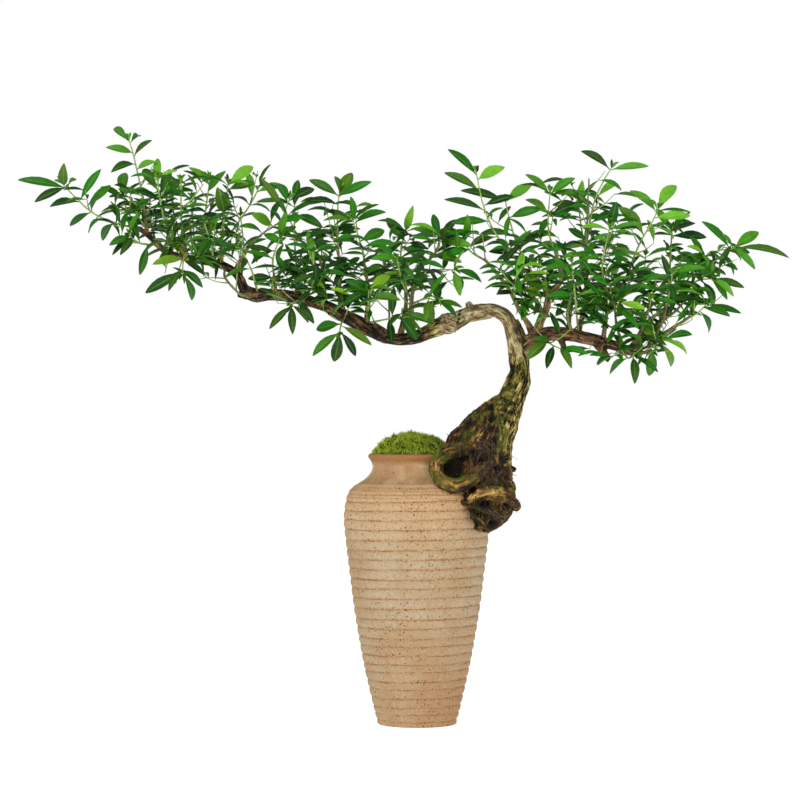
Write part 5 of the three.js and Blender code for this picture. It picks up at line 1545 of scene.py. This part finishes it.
def leaf():
    """A satin blade: dark to mid green by its tone, which holds the painted shade of low and inner leaves,
    lime where it is young and yellow where it is youngest, with a lighter rib, faint side veins and dark
    mottles.
    Beneath it is grey-green and duller."""
    blade = Finish("leaf", Specular_IOR_Level=0.18)
    uv = blade.node("ShaderNodeUVMap", {"uv_map": "blade"}, {})
    run, across = blade.part(uv, 0), blade.math("ABSOLUTE", blade.part(uv, 1) - 0.5) * 2.0
    under = blade.between(blade.value("under"), 0.2, 0.8)
    young, tone = blade.value("young"), blade.value("tone")
    rib = blade.between(across, 0.11, 0.03)
    vein = blade.between(blade.math("SINE", run * 44.0 - across * 8.0), 0.7, 1.0)
    vein = vein * blade.between(across, 0.6, 0.2) * blade.between(run, 0.97, 0.8)
    mottle = blade.noise(blade.place(), 260.0, 2.0)
    # The tone carries painted shade, so low and inner leaves come out darker.
    colour = blade.over(
        blade.mix(blade.between(tone, 0.0, 0.65), tint(9, 54, 6), tint(30, 120, 4)),
        (blade.between(tone, 0.6, 1.0), tint(110, 180, 44)),
        (blade.between(young, 0.0, 1.1), tint(154, 204, 44)),
        (blade.between(young, 1.15, 1.35), tint(232, 196, 24)),
        (rib * 0.35 + vein * 0.08, tint(140, 180, 84)),
        (blade.between(mottle, 0.45, 0.8) * 0.25, tint(16, 58, 12)),
        (under * 0.7, tint(90, 144, 52)),
    )
    relief = blade.bump(rib * -0.8 + mottle * 0.3, 0.00015, 0.5)
    return blade.done(Base_Color=colour, Roughness=under * 0.3 + 0.42, Normal=relief)


def green_stem():
    """Thin shoots: brown-green at the foot and fresh green at the tip."""
    shoot = Finish("green_stem", Roughness=0.6)
    streak = shoot.between(shoot.noise(shoot.place(), 500.0), 0.35, 0.65)
    foot = shoot.mix(streak, tint(104, 88, 56), tint(128, 112, 74))
    tip = shoot.mix(streak, tint(126, 160, 62), tint(156, 186, 86))
    return shoot.done(Base_Color=shoot.mix(shoot.between(shoot.value("young"), 0.0, 0.5), foot, tip))


def moss_green():
    """Moss: dark between the leaflets and bright yellow-green at their points."""
    fur = Finish("moss_green", Roughness=0.9)
    patch = fur.between(fur.noise(fur.place(), 190.0, 3.0), 0.35, 0.65)
    tip = fur.mix(patch, tint(164, 186, 24), tint(212, 224, 62))
    tip = fur.mix(fur.value("tone") * 0.4, tip, tint(112, 146, 22))
    return fur.done(Base_Color=fur.mix(fur.between(fur.value("tip"), 0.0, 0.8), tint(44, 60, 8), tip))


def hair():
    """Fine roots from dark brown to straw."""
    strand = Finish("fine_root", Roughness=0.8)
    tone = strand.between(strand.value("tone"), 0.2, 1.0)
    fleck = strand.between(strand.noise(strand.place(), 700.0), 0.4, 0.6) * 0.4
    plain = strand.mix(tone, tint(44, 30, 18), tint(120, 90, 54))
    return strand.done(Base_Color=strand.mix(fleck, plain, tint(28, 20, 12)))


def damp_soil():
    """Dark crumbly soil."""
    earth = Finish("damp_soil", Roughness=0.95)
    crumb = earth.noise(earth.place(), 420.0, 5.0)
    colour = earth.mix(earth.between(crumb, 0.35, 0.65), tint(34, 24, 16), tint(82, 62, 42))
    return earth.done(Base_Color=colour, Normal=earth.bump(crumb, 0.0015))


# The stage


def floor():
    """A plain pale floor that glows a little, as a lit white sheet does."""
    corners = FLOOR_REACH * np.array([(-1, -1, 0), (1, -1, 0), (1, 1, 0), (-1, 1, 0)])
    made = piece("floor", {"corners": corners, "faces": [np.arange(4)[None]]}, [], None)
    glow = {"Emission_Color": WHITE, "Emission_Strength": FLOOR_GLOW}
    plain = Finish("pale_floor", Roughness=1.0, Base_Color=WHITE, **glow)
    made.data.materials.append(plain.material)


def lamp(name, place, target, size, power):
    """A soft square lamp at a place, turned to a target."""
    light = bpy.data.lights.new(name, "AREA")
    light.shape, light.size, light.energy = "SQUARE", size, power
    made = bpy.data.objects.new(name, light)
    made.location = place
    way = np.array(place) - target
    made.rotation_euler = (math.acos(way[2] / np.linalg.norm(way)), 0, math.atan2(way[0], -way[1]))
    bpy.context.scene.collection.objects.link(made)


def studio():
    """White all round, a large soft lamp from the upper left of the front, and a weaker one from the
    right."""
    sky = bpy.data.worlds.new("studio")
    sky.use_nodes = True
    nodes, links = sky.node_tree.nodes, sky.node_tree.links
    lit = nodes["Background"]
    lit.inputs["Strength"].default_value = SKY_LIGHT
    lit.inputs["Color"].default_value = WHITE
    shown = nodes.new("ShaderNodeBackground")
    path = nodes.new("ShaderNodeLightPath")
    choice = nodes.new("ShaderNodeMixShader")
    links.new(path.outputs["Is Camera Ray"], choice.inputs[0])
    links.new(lit.outputs[0], choice.inputs[1])
    links.new(shown.outputs[0], choice.inputs[2])
    shown.inputs["Color"].default_value = WHITE
    links.new(choice.outputs[0], nodes["World Output"].inputs["Surface"])
    bpy.context.scene.world = sky
    middle = np.array((0, 0, 0.2))
    lamp("key", (-0.6, -1.4, 1.2), middle, 1.1, KEY_POWER)
    lamp("fill", (1.3, -0.9, 0.5), middle, 1.0, FILL_POWER)
    bpy.context.scene.view_settings.view_transform = "Standard"


def camera():
    """The eye of the front view, level and square on."""
    lens = bpy.data.cameras.new("front")
    lens.lens, lens.sensor_width = LENS, 36
    lens.clip_start, lens.clip_end = 0.01, 50
    made = bpy.data.objects.new("front", lens)
    made.location = (EYE_X * MM, -EYE_DISTANCE * MM, EYE_Z * MM)
    made.rotation_euler = (math.pi / 2, 0, 0)
    bpy.context.scene.collection.objects.link(made)
    bpy.context.scene.camera = made


# Putting it together

camera()
studio()
floor()

bark_finish = bark()
leaf_green, stem_green, moss_finish = leaf(), green_stem(), moss_green()

# The wood, with fine roots over it
skin, skin_normals = wood()
piece("stout_wood", skin, [bark_finish], ["tree_wood"])
piece("twigs", twigs(), [bark_finish], ["tree_wood"])
piece("fine_roots", root_hairs(skin["corners"]), [hair()], ["tree_wood"])

# Moss in the mossy places of the roots
rng = np.random.default_rng(9)
damp = skin["mossy"] * (1 - skin["hollow_and_painted_shade"]) * (skin["corners"][:, 2] < ROOT_TUFTS_END)
pick = rng.choice(len(damp), ROOT_TUFTS, p=damp / damp.sum())
green_tufts = tufts(skin["corners"][pick], skin_normals[pick], length=0.9, width=0.22, seed=10, bright=0.5)
piece("root_moss", green_tufts, [moss_finish], ["tree_wood"])

# The vase, cut clear of the wood
clear = {"corners": skin["corners"] + WOOD_CLEARANCE * skin_normals, "faces": skin["faces"]}
wood_cutter = piece("wood_cutter", clear, [], None)
cutters = [gap_cutter(), wood_cutter]
piece("thrown_vase", vase(cutters), [stoneware()], ["vase"])
for cutter in cutters:
    bpy.data.objects.remove(cutter)

piece("moss_cushion", moss(), [moss_finish], ["moss"])

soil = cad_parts["soil"]
soil.material_slots[0].material = damp_soil()

# The name, the sprays and the size of the paired leaves of each pad.
pads = [("left_spray", LEFT_PAD, 0.84), ("middle_spray", MIDDLE_PAD, 1), ("right_spray", RIGHT_CROWN, 1)]
sprays = [(f"{name}_{i + 1}", size, *plan) for name, pad, size in pads for i, plan in enumerate(pad)]
for number, plan in enumerate(sprays):
    spray(number, *plan)
for name, left, right in INNER_REACHES:
    inner_leaves(name, left, right)
